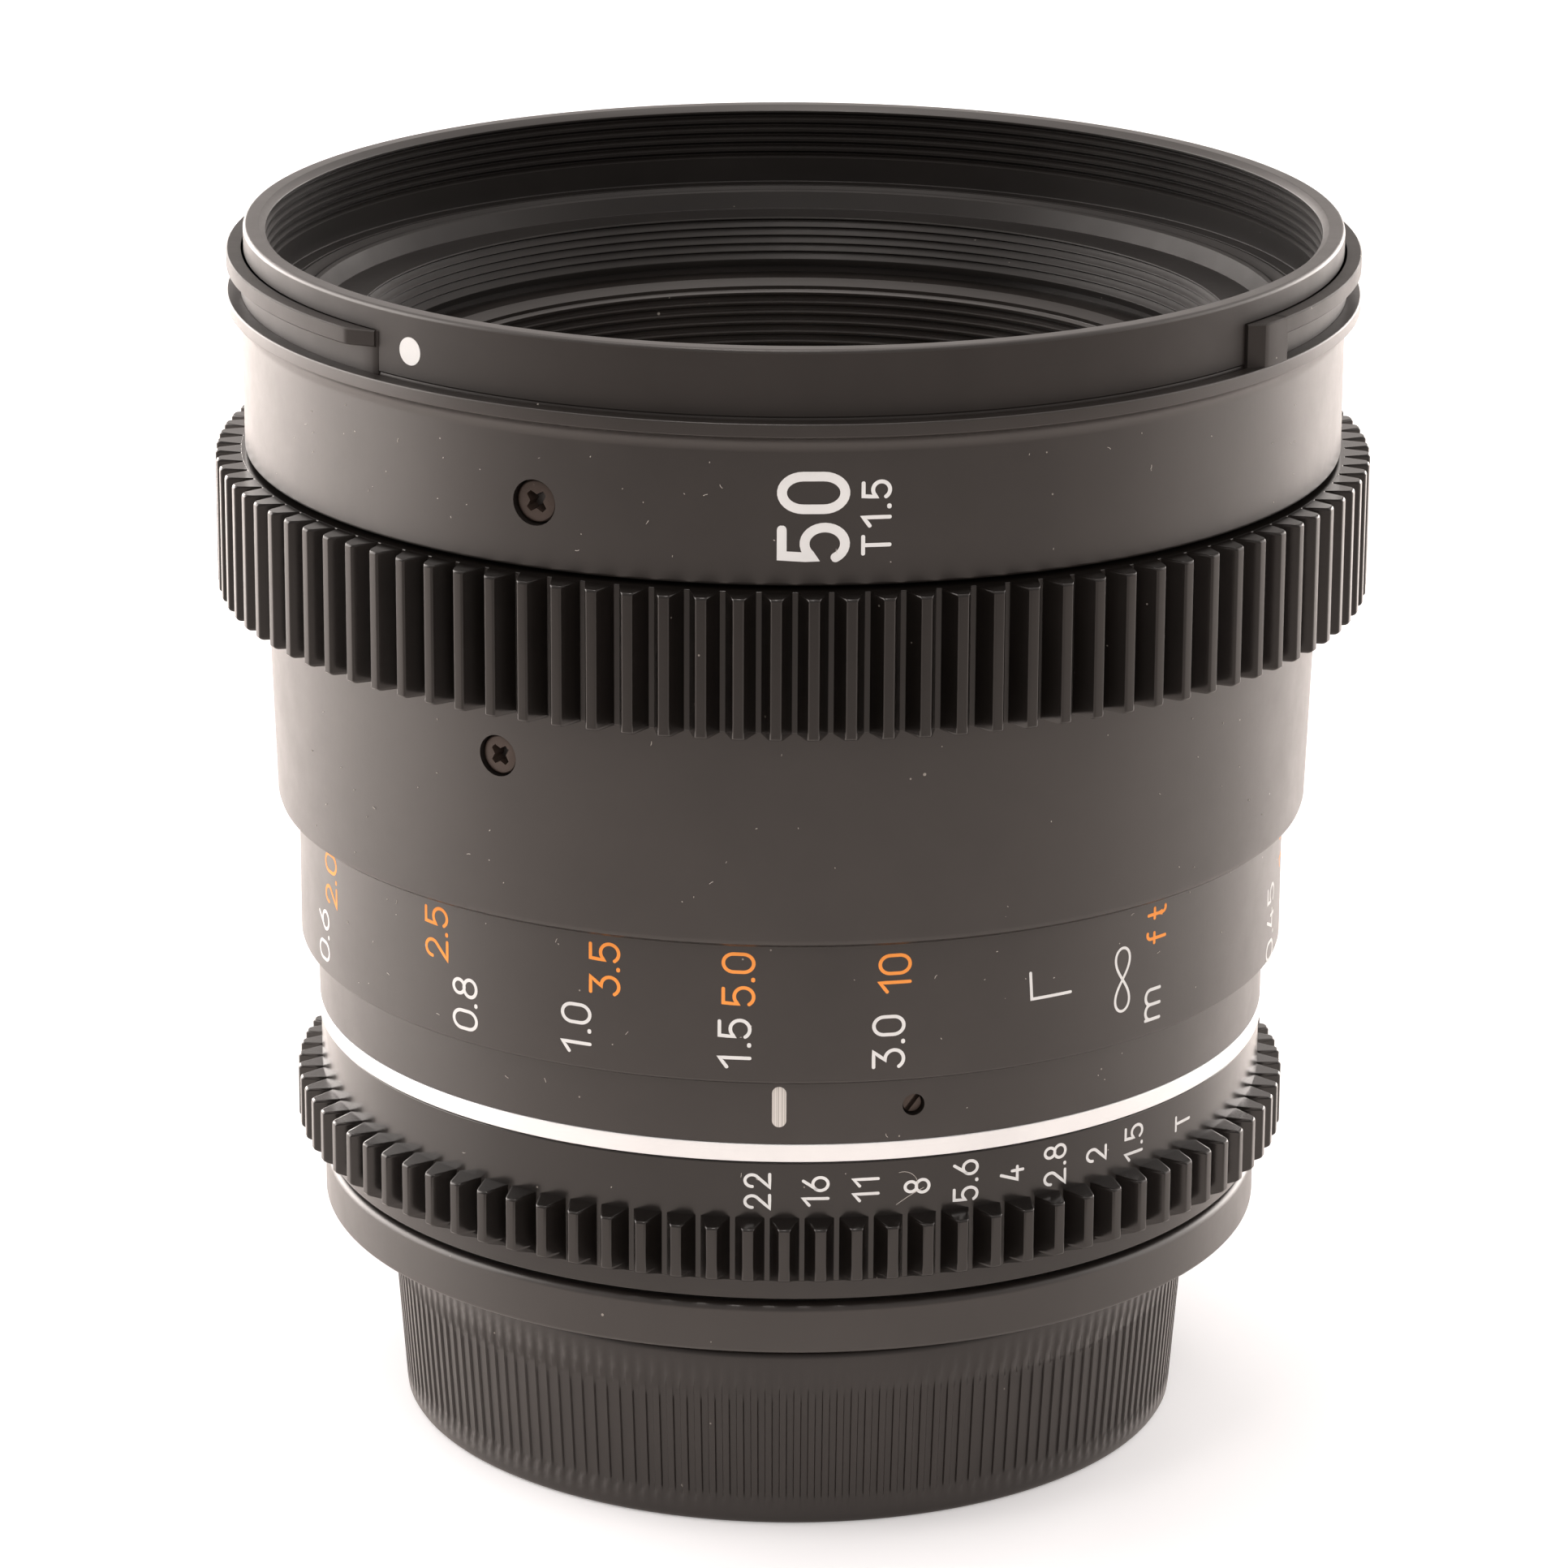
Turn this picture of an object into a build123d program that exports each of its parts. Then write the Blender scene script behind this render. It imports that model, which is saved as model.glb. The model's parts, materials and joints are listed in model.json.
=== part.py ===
from build123d import *
import math
import os

# A manual-focus cinema prime lens of about 50 mm, standing on its rear cap.
# Units are millimetres. The lens axis is +Z, towards the front, and Z is zero at the cap's base.
# Angles are in degrees round the axis: zero faces -Y, where the index bar is, and +90 faces +X.

os.makedirs("parts", exist_ok=True)

# Shared fits and edges
running_gap = 0.05
seat_gap = 0.05
side_gap = 0.3
thrust_gap = 0.1
overrun = 2.0
full_turn = 360.0
index_side = -90.0
upright = (Align.CENTER, Align.CENTER, Align.MIN)

# Movements
focus_near_turn = 104.0
focus_far_turn = 34.0
focus_lead_height = 19.8
iris_open_turn = 45.9
iris_close_turn = 2.5
near_travel = focus_lead_height * focus_near_turn / full_turn
far_travel = focus_lead_height * focus_far_turn / full_turn

# Rear cap
cap_height = 13.8
cap_taper = 1.05
cap_edge_step = 0.25
cap_floor = 1.5
cap_wall = 2.0
cap_base_round = 0.6
cap_lug_height = 1.8
cap_lug_span = 54.0

# Bayonet mount
cap_rim_gap = 0.3
flange_edge_width = 3.7
flange_thickness = 2.9
throat_gap = 1.5
spigot_wall = 1.85
spigot_length = 4.9
lug_count = 3
lug_reach = 1.65
lug_height = 1.7
lug_span = 56.0
lug_room = 3.2
mount_screw_count = 5
mount_screw_inset = 4.15
mount_screw_radius = 0.8
mount_screw_head_radius = 1.6
mount_screw_head_depth = 1.0
mount_screw_length = 4.4
lock_hole_radius = 1.2
lock_hole_angle = 20.0
lock_hole_depth = 1.6
baffle_wall = 0.95
baffle_flange = 2.2
baffle_flange_height = 0.8

# Rear collar and iris ring
iris_base_step = 0.15
collar_height = 3.7
collar_wall = 1.4
collar_step = 1.7
collar_web = 1.15
control_gap = 0.45
iris_height = 10.35
iris_ring_wall = 3.75
iris_base_height = 1.45
iris_gear_height = 5.2
iris_gear_taper = 0.7
fork_thickness = 1.6
fork_inset = 0.3
fork_width = 5.0
fork_seat_depth = 1.8
fork_tip_inset = 0.6
fork_room = 0.2

# Module 0.8 follow-focus teeth, as on both control rings
gear_module_size = 0.8
tooth_depth = 1.8
tip_land_width = 0.76
pressure_angle = 20.0
tooth_end_step = 0.1
iris_tooth_phase = 0.68
gear_ring_wall = 2.2
focus_tooth_phase = -0.27

# Silver ring and index band
silver_gap = 0.1
silver_height = 1.3
silver_step = 0.15
silver_width = 1.6
index_height = 4.7
index_step = 0.1
index_bar_length = 3.0
index_bar_width = 1.0
index_bar_depth = 0.3
index_bar_rise = 2.8
set_screw_count = 3
set_screw_radius = 0.75
set_screw_angle = 15.5
set_screw_rise = 2.64
set_screw_recess = 0.5
set_screw_slot = 0.25
set_screw_slot_depth = 0.4

# Focus ring
scale_gap = 0.26
scale_step = 1.26
scale_height = 10.34
scale_wall = 1.36
shoulder_step = 1.51
shoulder_round = 0.7
grip_flare = 0.55
grip_height = 16.35
skirt_wall = 0.95
focus_gear_face = 10.0
focus_gear_chamfer = 0.45
chamfer_slope = 1.0
gear_seat_step = 0.42
skirt_length = 2.75
skirt_gap = 0.45
web_height = 3.6
web_drop = 2.15
screw_count = 3
screw_radius = 0.8
screw_head_radius = 1.28
screw_head_height = 0.9
screw_recess = 0.35
screw_length = 4.6
grip_screw_angle = -30.8
grip_screw_drop = 4.07

# Front barrel, hood bayonet and filter thread
front_gap = 0.3
barrel_step = 0.15
ledge_width = 1.1
band_height = 9.75
cove_height = 0.9
lip_overhang = 1.1
lip_height = 0.9
hood_tube_wall = 1.6
hood_pad = 0.25
hood_groove = 1.87
hood_rib = 1.18
rim_height = 1.75
rim_round = 0.2
cove_share = 0.29
thread_depth = 6.0
thread_chamfer = 0.8
hood_lug_count = 2
hood_stop_angle = 52.7
hood_stop_rake = 1.7
hood_stop_span = 3.4
hood_lug_end = 135.3
hood_lug_taper = 3.1
dot_radius = 0.98
dot_depth = 0.15
dot_angle = -40.0
dot_drop = 2.69
barrel_screw_angle = -24.9
barrel_screw_rise = 4.66

# Guide tube and stepped baffle
guide_wall = 2.4
guide_seat_step = 0.3
guide_seat_rise = 1.2
mouth_bevel = 1.0
mouth_bevel_drop = 0.2
plate_bore_step = 2.3
rim_ring_step = 0.65
front_flange_height = 4.2
mouth_drop = 2.2
baffle_top_width = 1.45
baffle_cone_width = 0.9
baffle_cone_drop = 1.35
baffle_shelf_width = 2.9
baffle_mouth_step = 2.1
baffle_lip_width = 1.1
baffle_lip_drop = 1.5
baffle_lip_bevel = 0.5

# Cam sleeve, rollers and stop
sleeve_wall = 2.05
retainer_height = 2.0
retainer_rise = 1.6
roller_count = 3
roller_radius = 1.5
roller_first_angle = 90.0
roller_rise = 3.0
roller_screw_head_radius = 1.2
roller_screw_head_height = 0.8
slot_end_gap = 0.08
slot_end_turn = 3.6
stop_span = 6.0
stop_height = 1.8
stop_margin = 0.5

# Iris
stop_rise = 5.6
blade_count = 8
blade_thickness = 0.2
blade_gap = 0.1
blade_width = 7.5
blade_pivot_step = 1.0
blade_sweep = 95.0
blade_lead = 3.0
blade_pad_radius = 1.8
blade_tail_radius = 1.2
blade_tail_length = 4.5
blade_ratio = 0.676
pivot_inset = 4.35
blade_pin_radius = 0.6
drive_thickness = 1.0
drive_bore_step = 0.5
cam_plate_thickness = 1.0
iris_chamber_wall = 1.85
cam_slot_gap = 0.1
drive_pin_radius = 1.0
drive_pin_inset = 2.35
drive_pin_foot_gap = 0.58
cover_thickness = 1.4
cover_bore_step = 3.8
cover_screw_count = 4
cover_screw_radius = 0.45
cover_screw_inset = 0.9
cover_screw_length = 3.6
cover_screw_head_radius = 0.75
cover_screw_head_height = 0.5
cover_screw_angle = 30.0
window_margin = 0.6

# Glass. Each row is a share of the focal length: half diameter, clear half diameters in front and behind,
# height of the front vertex over the iris chamber (or, below zero, under its cover), centre thickness, and
# the two surface radii.
# A positive radius has its centre behind the surface.
focal_length = 50.0
element_names = ("front", "second", "third", "fourth", "fifth", "sixth", "seventh")
element_shares = (
    (0.430, 0.430, 0.430, 0.456, 0.132, 0.84, 3.60),
    (0.370, 0.370, 0.360, 0.316, 0.108, 0.51, 0.88),
    (0.332, 0.332, 0.280, 0.162, 0.038, 1.60, 0.40),
    (0.296, 0.268, 0.296, -0.120, 0.032, -0.40, 2.40),
    (0.296, 0.296, 0.296, -0.152, 0.140, 2.40, -0.56),
    (0.328, 0.328, 0.328, -0.300, 0.092, -2.20, -0.68),
    (0.328, 0.328, 0.328, -0.398, 0.076, 2.20, -1.90),
)
cell_wall = 3.9
optics_wall = 3.0
cell_sill = 0.5
cell_shelf = 1.6
shelf_bore_step = 1.0
lock_ring_height = 2.9
lock_ring_width = 2.2
glass_ring_height = 2.4
glass_ring_width = 1.4
glass_ring_bevel = 1.05
rear_cell_wall = 2.1
rear_cell_flange_width = 3.7
rear_cell_flange_height = 1.5
spacer_width = 0.9
spacer_bevel = 0.7
rear_ring_height = 1.7
rear_cell_rim = 0.2
glass_seat_drop = 0.2

# Heights worked out from the base up
flange_face_z = cap_height + cap_rim_gap
flange_top_z = flange_face_z + flange_thickness
collar_z = flange_face_z + collar_step
iris_z = collar_z + collar_height + control_gap
iris_top_z = iris_z + iris_height
silver_z = iris_top_z + silver_gap
index_z = silver_z + silver_height
index_top_z = index_z + index_height
scale_z = index_top_z + scale_gap
shoulder_z = scale_z + scale_height
focus_gear_z = shoulder_z + grip_height
focus_gear_top_z = focus_gear_z + focus_gear_face
barrel_z = focus_gear_top_z + front_gap
cove_z = barrel_z + band_height
lip_z = cove_z + cove_height
lip_top_z = lip_z + lip_height
rib_z = lip_top_z + hood_groove
rib_top_z = rib_z + hood_rib
rim_z = rib_top_z + rim_height
ledge_z = rim_z - thread_depth
plate_top_z = iris_z - thrust_gap
grip_top_z = focus_gear_top_z + skirt_length
guide_flange_z = grip_top_z + side_gap
guide_top_z = guide_flange_z + front_flange_height
mouth_z = guide_top_z - mouth_drop
retainer_z = index_top_z + retainer_rise
sleeve_z = retainer_z + retainer_height + thrust_gap
sleeve_top_z = guide_flange_z - thrust_gap
roller_z = shoulder_z + roller_rise
web_z = focus_gear_z - web_drop - web_height
fork_top_z = iris_top_z - fork_inset
fork_z = fork_top_z - fork_thickness
iris_level_z = iris_top_z + stop_rise
drive_top_z = iris_level_z - thrust_gap
drive_z = drive_top_z - drive_thickness
cover_top_z = drive_z - thrust_gap
cover_z = cover_top_z - cover_thickness
blade_step_z = blade_thickness + blade_gap
blade_stack_z = iris_level_z + blade_count * blade_step_z
cam_plate_z = blade_stack_z
cam_plate_top_z = cam_plate_z + cam_plate_thickness
shelf_top_z = cam_plate_top_z + cell_shelf

index_bar_z = index_z + index_bar_rise
set_screw_z = index_z + set_screw_rise
grip_screw_z = focus_gear_z - grip_screw_drop
barrel_screw_z = barrel_z + barrel_screw_rise

# Radii of the optical unit and the guide tube, worked out from the glass out
first_radius = element_shares[0][0] * focal_length
last_radius = element_shares[-1][0] * focal_length
cell_radius = first_radius + cell_wall
optics_radius = cell_radius + seat_gap + optics_wall
guide_bore = optics_radius + running_gap
guide_radius = guide_bore + guide_wall
guide_seat_radius = guide_radius + guide_seat_step
sleeve_bore = guide_radius + running_gap
sleeve_radius = sleeve_bore + sleeve_wall
ring_bore = guide_seat_radius + running_gap

# Radii of the iris, worked out from the chamber's wall in
chamber_radius = optics_radius - iris_chamber_wall
iris_plate_radius = chamber_radius - seat_gap
cover_screw_circle_radius = chamber_radius + cover_screw_inset
drive_pin_circle_radius = iris_plate_radius - drive_pin_inset
pivot_circle_radius = iris_plate_radius - pivot_inset
blade_outer_radius = pivot_circle_radius - blade_pivot_step
blade_inner_radius = blade_outer_radius - blade_width
drive_bore = blade_inner_radius + drive_bore_step
shelf_bore = drive_bore + shelf_bore_step
cover_bore = drive_bore + cover_bore_step

# Radii of the mount and the rear cap, worked out from the rear cell out
rear_cell_radius = last_radius + rear_cell_wall
rear_cell_flange_radius = rear_cell_radius + rear_cell_flange_width
throat_radius = rear_cell_radius + throat_gap
plate_bore = throat_radius + plate_bore_step
spigot_radius = throat_radius + spigot_wall
lug_radius = spigot_radius + lug_reach
mount_screw_circle_radius = spigot_radius + mount_screw_inset
flange_radius = mount_screw_circle_radius + flange_edge_width
cap_top_radius = flange_radius + cap_edge_step
cap_base_radius = cap_top_radius - cap_taper
cap_bore = cap_top_radius - cap_wall

# Radii of the rings outside the guide tube
iris_band_radius = ring_bore + iris_ring_wall
iris_tip_radius = iris_band_radius + tooth_depth
iris_base_radius = iris_band_radius - iris_base_step
collar_radius = iris_base_radius
plate_radius = collar_radius - collar_wall - seat_gap
silver_radius = iris_band_radius + silver_step
index_radius = iris_band_radius + index_step
scale_radius = index_radius + scale_step
shoulder_radius = scale_radius + shoulder_step
grip_radius = shoulder_radius + grip_flare
gear_seat_radius = grip_radius - gear_seat_step
focus_root_radius = gear_seat_radius + gear_ring_wall
focus_tip_radius = focus_root_radius + tooth_depth

# Radii of the front well and the front barrel, worked out from the guide tube's mouth out
rim_ring_radius = guide_radius + rim_ring_step
baffle_inner_radius = guide_bore + baffle_mouth_step
cone_mouth_radius = baffle_inner_radius + baffle_lip_width
cone_foot_radius = cone_mouth_radius + baffle_shelf_width
shelf_outer_radius = cone_foot_radius + baffle_cone_width
inner_seat_radius = shelf_outer_radius + baffle_top_width
barrel_bore = inner_seat_radius + seat_gap
thread_bore = barrel_bore + ledge_width
hood_tube_radius = thread_bore + hood_tube_wall
hood_pad_radius = hood_tube_radius + hood_pad
hood_root_radius = hood_tube_radius - hood_pad
barrel_radius = hood_tube_radius + barrel_step
lip_radius = barrel_radius + lip_overhang
skirt_radius = barrel_bore - skirt_gap
grip_bore = skirt_radius - skirt_wall

# Screws, fork and teeth
fork_seat_radius = ring_bore + fork_seat_depth
fork_tip_radius = drive_pin_circle_radius - drive_pin_radius - fork_tip_inset
grip_slope = grip_flare / (grip_height - shoulder_round)
grip_head_radius = grip_radius - grip_slope * grip_screw_drop - screw_recess - screw_head_height
barrel_head_radius = barrel_radius - screw_recess - screw_head_height
screw_tip_radius = barrel_head_radius - screw_length
roller_seat_radius = sleeve_radius - 2 * thrust_gap - roller_screw_head_height
set_screw_slot_floor = index_radius - set_screw_recess - set_screw_slot_depth
iris_teeth = round(2 * iris_tip_radius / gear_module_size) - 2
focus_teeth = round(2 * focus_tip_radius / gear_module_size) - 2

# Angles worked out from the counts
roller_angles = [roller_first_angle + n * full_turn / roller_count for n in range(roller_count)]
blade_angles = [n * full_turn / blade_count for n in range(blade_count)]
fork_angle = full_turn / 2 + full_turn / blade_count / 2
blade_rest_turn = blade_ratio * iris_open_turn
fork_half_angle = math.degrees(math.asin(fork_width / 2 / guide_bore))
set_screw_angles = [set_screw_angle + n * full_turn / set_screw_count for n in range(set_screw_count)]
grip_screw_angles = [grip_screw_angle + n * full_turn / screw_count for n in range(screw_count)]
barrel_screw_angles = [barrel_screw_angle + n * full_turn / screw_count for n in range(screw_count)]


def outline(points):
    """Return a closed half section through (radius, height) points, standing on the XZ plane."""
    with BuildSketch(Plane.XZ) as section:
        with BuildLine():
            Polyline(*points, close=True)
        make_face()
    return section.sketch


def band(inner, outer, low, high):
    """Return the half section of a plain ring."""
    return outline([(inner, low), (outer, low), (outer, high), (inner, high)])


def sector(inner, outer, start, span):
    """Return a flat piece of a ring on the XY plane, from the angle start through span degrees."""
    with BuildSketch() as piece:
        with BuildLine():
            outside = CenterArc((0, 0), outer, start + index_side, span)
            inside = CenterArc((0, 0), inner, start + index_side, span)
            Line(outside @ 0, inside @ 0)
            Line(outside @ 1, inside @ 1)
        make_face()
    return piece.sketch


def across(angle, radius, height):
    """Return a plane that faces outwards at an angle round the axis, upright in its own Y."""
    turn = math.radians(angle)
    out = (math.sin(turn), -math.cos(turn), 0)
    side = (math.cos(turn), math.sin(turn), 0)
    return Plane(origin=(radius * out[0], radius * out[1], height), x_dir=side, z_dir=out)


def tongue(inner, outer, width, angle):
    """Return a straight flat arm on the XY plane, along a radius at an angle."""
    turn = math.radians(angle + index_side)
    corners = [(inner, -width / 2), (outer, -width / 2), (outer, width / 2), (inner, width / 2)]
    with BuildSketch() as piece:
        with BuildLine():
            Polyline(
                *[
                    (x * math.cos(turn) - y * math.sin(turn), x * math.sin(turn) + y * math.cos(turn))
                    for x, y in corners
                ],
                close=True,
            )
        make_face()
    return piece.sketch


def raked(inner, foot, outer, start, outer_start, outer_end, end):
    """Return a piece of a ring whose ends slope from a foot radius out to its outer arc."""
    with BuildSketch() as piece:
        with BuildLine():
            inside = CenterArc((0, 0), inner, start + index_side, end - start)
            outside = CenterArc((0, 0), outer, outer_start + index_side, outer_end - outer_start)
            first_foot = CenterArc((0, 0), foot, start + index_side, end - start, mode=Mode.PRIVATE)
            Polyline(inside @ 0, first_foot @ 0, outside @ 0)
            Polyline(inside @ 1, first_foot @ 1, outside @ 1)
        make_face()
    return piece.sketch


def toothed_outline(teeth, root, tip, phase):
    """Return the closed outline of a spur gear with straight flanks, as points round the axis."""
    flank = (tip - root) * math.tan(math.radians(pressure_angle))
    points = []
    for n in range(teeth):
        middle = math.radians(phase + index_side + n * full_turn / teeth)
        half_root = (tip_land_width / 2 + flank) / root
        half_tip = tip_land_width / 2 / tip
        for radius, offset in ((root, -half_root), (tip, -half_tip), (tip, half_tip), (root, half_root)):
            points.append((radius * math.cos(middle + offset), radius * math.sin(middle + offset)))
    return points


def tooth_envelope(teeth, reach, phase, low, face, slope):
    """Return a body that widens from both faces of a gear, with one flat side for each tooth's slope."""
    turn = phase + index_side + full_turn / teeth / 2
    with BuildPart() as envelope:
        for level, amount in ((low, face / 2), (low + face, -face / 2)):
            with BuildSketch(Plane.XY.offset(level)):
                RegularPolygon(reach, teeth, major_radius=False, rotation=turn)
            extrude(amount=amount, taper=-math.degrees(math.atan(slope)))
    return envelope.part


def sag(curve, reach):
    """Return how far a spherical surface falls back from its vertex at a distance from the axis."""
    return curve - math.copysign(math.sqrt(curve * curve - reach * reach), curve)


def glass(half, clear_front, clear_back, front_z, back_z, front_curve, back_curve):
    """Return the half section of one lens element with spherical faces and flat rims."""
    front_rim = front_z - sag(front_curve, clear_front)
    back_rim = back_z - sag(back_curve, clear_back)
    front_middle = (clear_front / 2, front_z - sag(front_curve, clear_front / 2))
    back_middle = (clear_back / 2, back_z - sag(back_curve, clear_back / 2))
    with BuildSketch(Plane.XZ) as section:
        with BuildLine():
            ThreePointArc((0, front_z), front_middle, (clear_front, front_rim))
            if half > clear_front:
                Line((clear_front, front_rim), (half, front_rim))
            Line((half, front_rim), (half, back_rim))
            if half > clear_back:
                Line((half, back_rim), (clear_back, back_rim))
            ThreePointArc((clear_back, back_rim), back_middle, (0, back_z))
            Line((0, back_z), (0, front_z))
        make_face()
    return section.sketch


# Glass elements, placed over and under the iris
elements = []
for shares in element_shares:
    half, clear_front, clear_back, rise, thickness, front_curve, back_curve = [
        share * focal_length for share in shares
    ]
    front_z = (shelf_top_z if rise > 0 else cover_z) + rise
    back_z = front_z - thickness
    elements.append(
        {
            "half": half,
            "front_z": front_z,
            "back_z": back_z,
            "clear_front": clear_front,
            "clear_back": clear_back,
            "front_curve": front_curve,
            "back_curve": back_curve,
            "front_rim": front_z - sag(front_curve, clear_front),
            "back_rim": back_z - sag(back_curve, clear_back),
        }
    )
for name, element in zip(element_names, elements):
    with BuildPart() as lens_element:
        revolve(
            glass(
                element["half"],
                element["clear_front"],
                element["clear_back"],
                element["front_z"],
                element["back_z"],
                element["front_curve"],
                element["back_curve"],
            ),
            axis=Axis.Z,
        )
    lens_element.part.label = name + "_element"
    export_step(lens_element.part, "parts/" + name + "_element.step")
first, second, third, fourth, fifth, sixth, seventh = elements


# Rear cap: a tapering cup with three inner lugs that turn behind the bayonet's own
with BuildPart() as rear_cap:
    with BuildSketch(Plane.XZ):
        with BuildLine():
            Polyline(
                (0, 0),
                (cap_base_radius, 0),
                (cap_top_radius, cap_height),
                (cap_bore, cap_height),
                (cap_base_radius - cap_wall, cap_floor),
                (0, cap_floor),
                close=True,
            )
        make_face()
    revolve(axis=Axis.Z)
    cap_lug_z = flange_face_z - lug_room + thrust_gap * 2
    with BuildSketch(Plane.XY.offset(cap_lug_z)):
        with PolarLocations(0, lug_count):
            add(sector(spigot_radius + side_gap, cap_bore + cap_wall / 2, -cap_lug_span / 2, cap_lug_span))
    extrude(amount=cap_lug_height)
    fillet(rear_cap.edges().filter_by(GeomType.CIRCLE).group_by(Axis.Z)[0], radius=cap_base_round)
rear_cap.part.label = "rear_cap"
export_step(rear_cap.part, "parts/rear_cap.step")


# Mount flange: the metal bayonet, with its lugs, screw holes and the hole for a camera's lock pin
with BuildPart() as mount_flange:
    revolve(
        outline(
            [
                (throat_radius, flange_face_z - spigot_length),
                (spigot_radius, flange_face_z - spigot_length),
                (spigot_radius, flange_face_z),
                (flange_radius, flange_face_z),
                (flange_radius, flange_top_z),
                (throat_radius, flange_top_z),
            ]
        ),
        axis=Axis.Z,
    )
    with BuildSketch(Plane.XY.offset(flange_face_z - spigot_length)):
        with PolarLocations(0, lug_count):
            add(sector((throat_radius + spigot_radius) / 2, lug_radius, -lug_span / 2, lug_span))
    extrude(amount=lug_height)
    with Locations((0, 0, flange_face_z)):
        with PolarLocations(mount_screw_circle_radius, mount_screw_count):
            Cone(
                mount_screw_head_radius + seat_gap,
                mount_screw_radius + seat_gap,
                mount_screw_head_depth,
                align=upright,
                mode=Mode.SUBTRACT,
            )
            Cylinder(mount_screw_radius + seat_gap, flange_thickness, align=upright, mode=Mode.SUBTRACT)
        with PolarLocations(mount_screw_circle_radius, 1, start_angle=lock_hole_angle):
            Cylinder(lock_hole_radius, lock_hole_depth, align=upright, mode=Mode.SUBTRACT)
mount_flange.part.label = "mount_flange"
export_step(mount_flange.part, "parts/mount_flange.step")


# Mount screws: five countersunk screws that hold the flange to the guide tube's rear plate
with BuildPart() as mount_screws:
    with Locations((0, 0, flange_face_z)):
        with PolarLocations(mount_screw_circle_radius, mount_screw_count):
            Cone(mount_screw_head_radius, mount_screw_radius, mount_screw_head_depth, align=upright)
    with Locations((0, 0, flange_face_z + mount_screw_head_depth)):
        with PolarLocations(mount_screw_circle_radius, mount_screw_count):
            Cylinder(mount_screw_radius, mount_screw_length - mount_screw_head_depth, align=upright)
mount_screws.part.label = "mount_screws"
export_step(mount_screws.part, "parts/mount_screws.step")


# Rear baffle: a black ring in the mount's throat
with BuildPart() as rear_baffle:
    baffle_radius = throat_radius - seat_gap
    revolve(
        outline(
            [
                (baffle_radius - baffle_wall, flange_face_z - spigot_length),
                (baffle_radius, flange_face_z - spigot_length),
                (baffle_radius, flange_top_z),
                (throat_radius + baffle_flange, flange_top_z),
                (throat_radius + baffle_flange, flange_top_z + baffle_flange_height),
                (baffle_radius - baffle_wall, flange_top_z + baffle_flange_height),
            ]
        ),
        axis=Axis.Z,
    )
rear_baffle.part.label = "rear_baffle"
export_step(rear_baffle.part, "parts/rear_baffle.step")


# Rear collar: the trim ring round the rear plate, clamped between it and the flange's edge
with BuildPart() as rear_collar:
    revolve(
        outline(
            [
                (flange_radius + seat_gap, collar_z),
                (collar_radius, collar_z),
                (collar_radius, collar_z + collar_height),
                (collar_radius - collar_wall, collar_z + collar_height),
                (collar_radius - collar_wall, collar_z + collar_web),
                (flange_radius + seat_gap, collar_z + collar_web),
            ]
        ),
        axis=Axis.Z,
    )
rear_collar.part.label = "rear_collar"
export_step(rear_collar.part, "parts/rear_collar.step")


# Guide tube: rear plate, seat for the iris ring, three straight roller slots and the front flange
with BuildPart() as guide_tube:
    seat_top_z = index_top_z + guide_seat_rise
    revolve(
        outline(
            [
                (plate_bore, flange_top_z),
                (plate_radius, flange_top_z),
                (plate_radius, plate_top_z),
                (guide_seat_radius, plate_top_z),
                (guide_seat_radius, seat_top_z),
                (guide_radius, seat_top_z),
                (guide_radius, guide_flange_z),
                (inner_seat_radius, guide_flange_z),
                (inner_seat_radius, guide_top_z),
                (rim_ring_radius, guide_top_z),
                (rim_ring_radius, mouth_z),
                (guide_bore + mouth_bevel, mouth_z),
                (guide_bore, mouth_z - 2 * mouth_bevel_drop),
                (guide_bore, plate_top_z),
                (plate_bore, plate_top_z),
            ]
        ),
        axis=Axis.Z,
    )
    # Roller slots, as long as the optical unit's travel
    slot_travel = near_travel + far_travel
    slot_middle_z = roller_z + (near_travel - far_travel) / 2
    with BuildSketch(*[across(angle, 0, slot_middle_z) for angle in roller_angles]):
        SlotCenterToCenter(slot_travel + 2 * slot_end_gap, 2 * (roller_radius + running_gap), rotation=90)
    extrude(amount=guide_radius + overrun, mode=Mode.SUBTRACT)
    # Window for the iris fork
    with BuildSketch(Plane.XY.offset(fork_z - fork_room)):
        add(
            sector(
                guide_bore - overrun,
                guide_seat_radius + overrun,
                fork_angle - iris_open_turn - fork_half_angle - window_margin,
                iris_open_turn + iris_close_turn + 2 * (fork_half_angle + window_margin),
            )
        )
    extrude(amount=fork_thickness + 2 * fork_room, mode=Mode.SUBTRACT)
    # Tapped holes for the front barrel's screws
    with BuildSketch(*[across(angle, screw_tip_radius, barrel_screw_z) for angle in barrel_screw_angles]):
        Circle(screw_radius + seat_gap)
    extrude(amount=inner_seat_radius, mode=Mode.SUBTRACT)
    # Tapped holes for the mount screws
    with Locations((0, 0, flange_top_z)):
        with PolarLocations(mount_screw_circle_radius, mount_screw_count):
            Cylinder(
                mount_screw_radius + seat_gap,
                mount_screw_length - flange_thickness + seat_gap,
                align=upright,
                mode=Mode.SUBTRACT,
            )
guide_tube.part.label = "guide_tube"
export_step(guide_tube.part, "parts/guide_tube.step")


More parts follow.
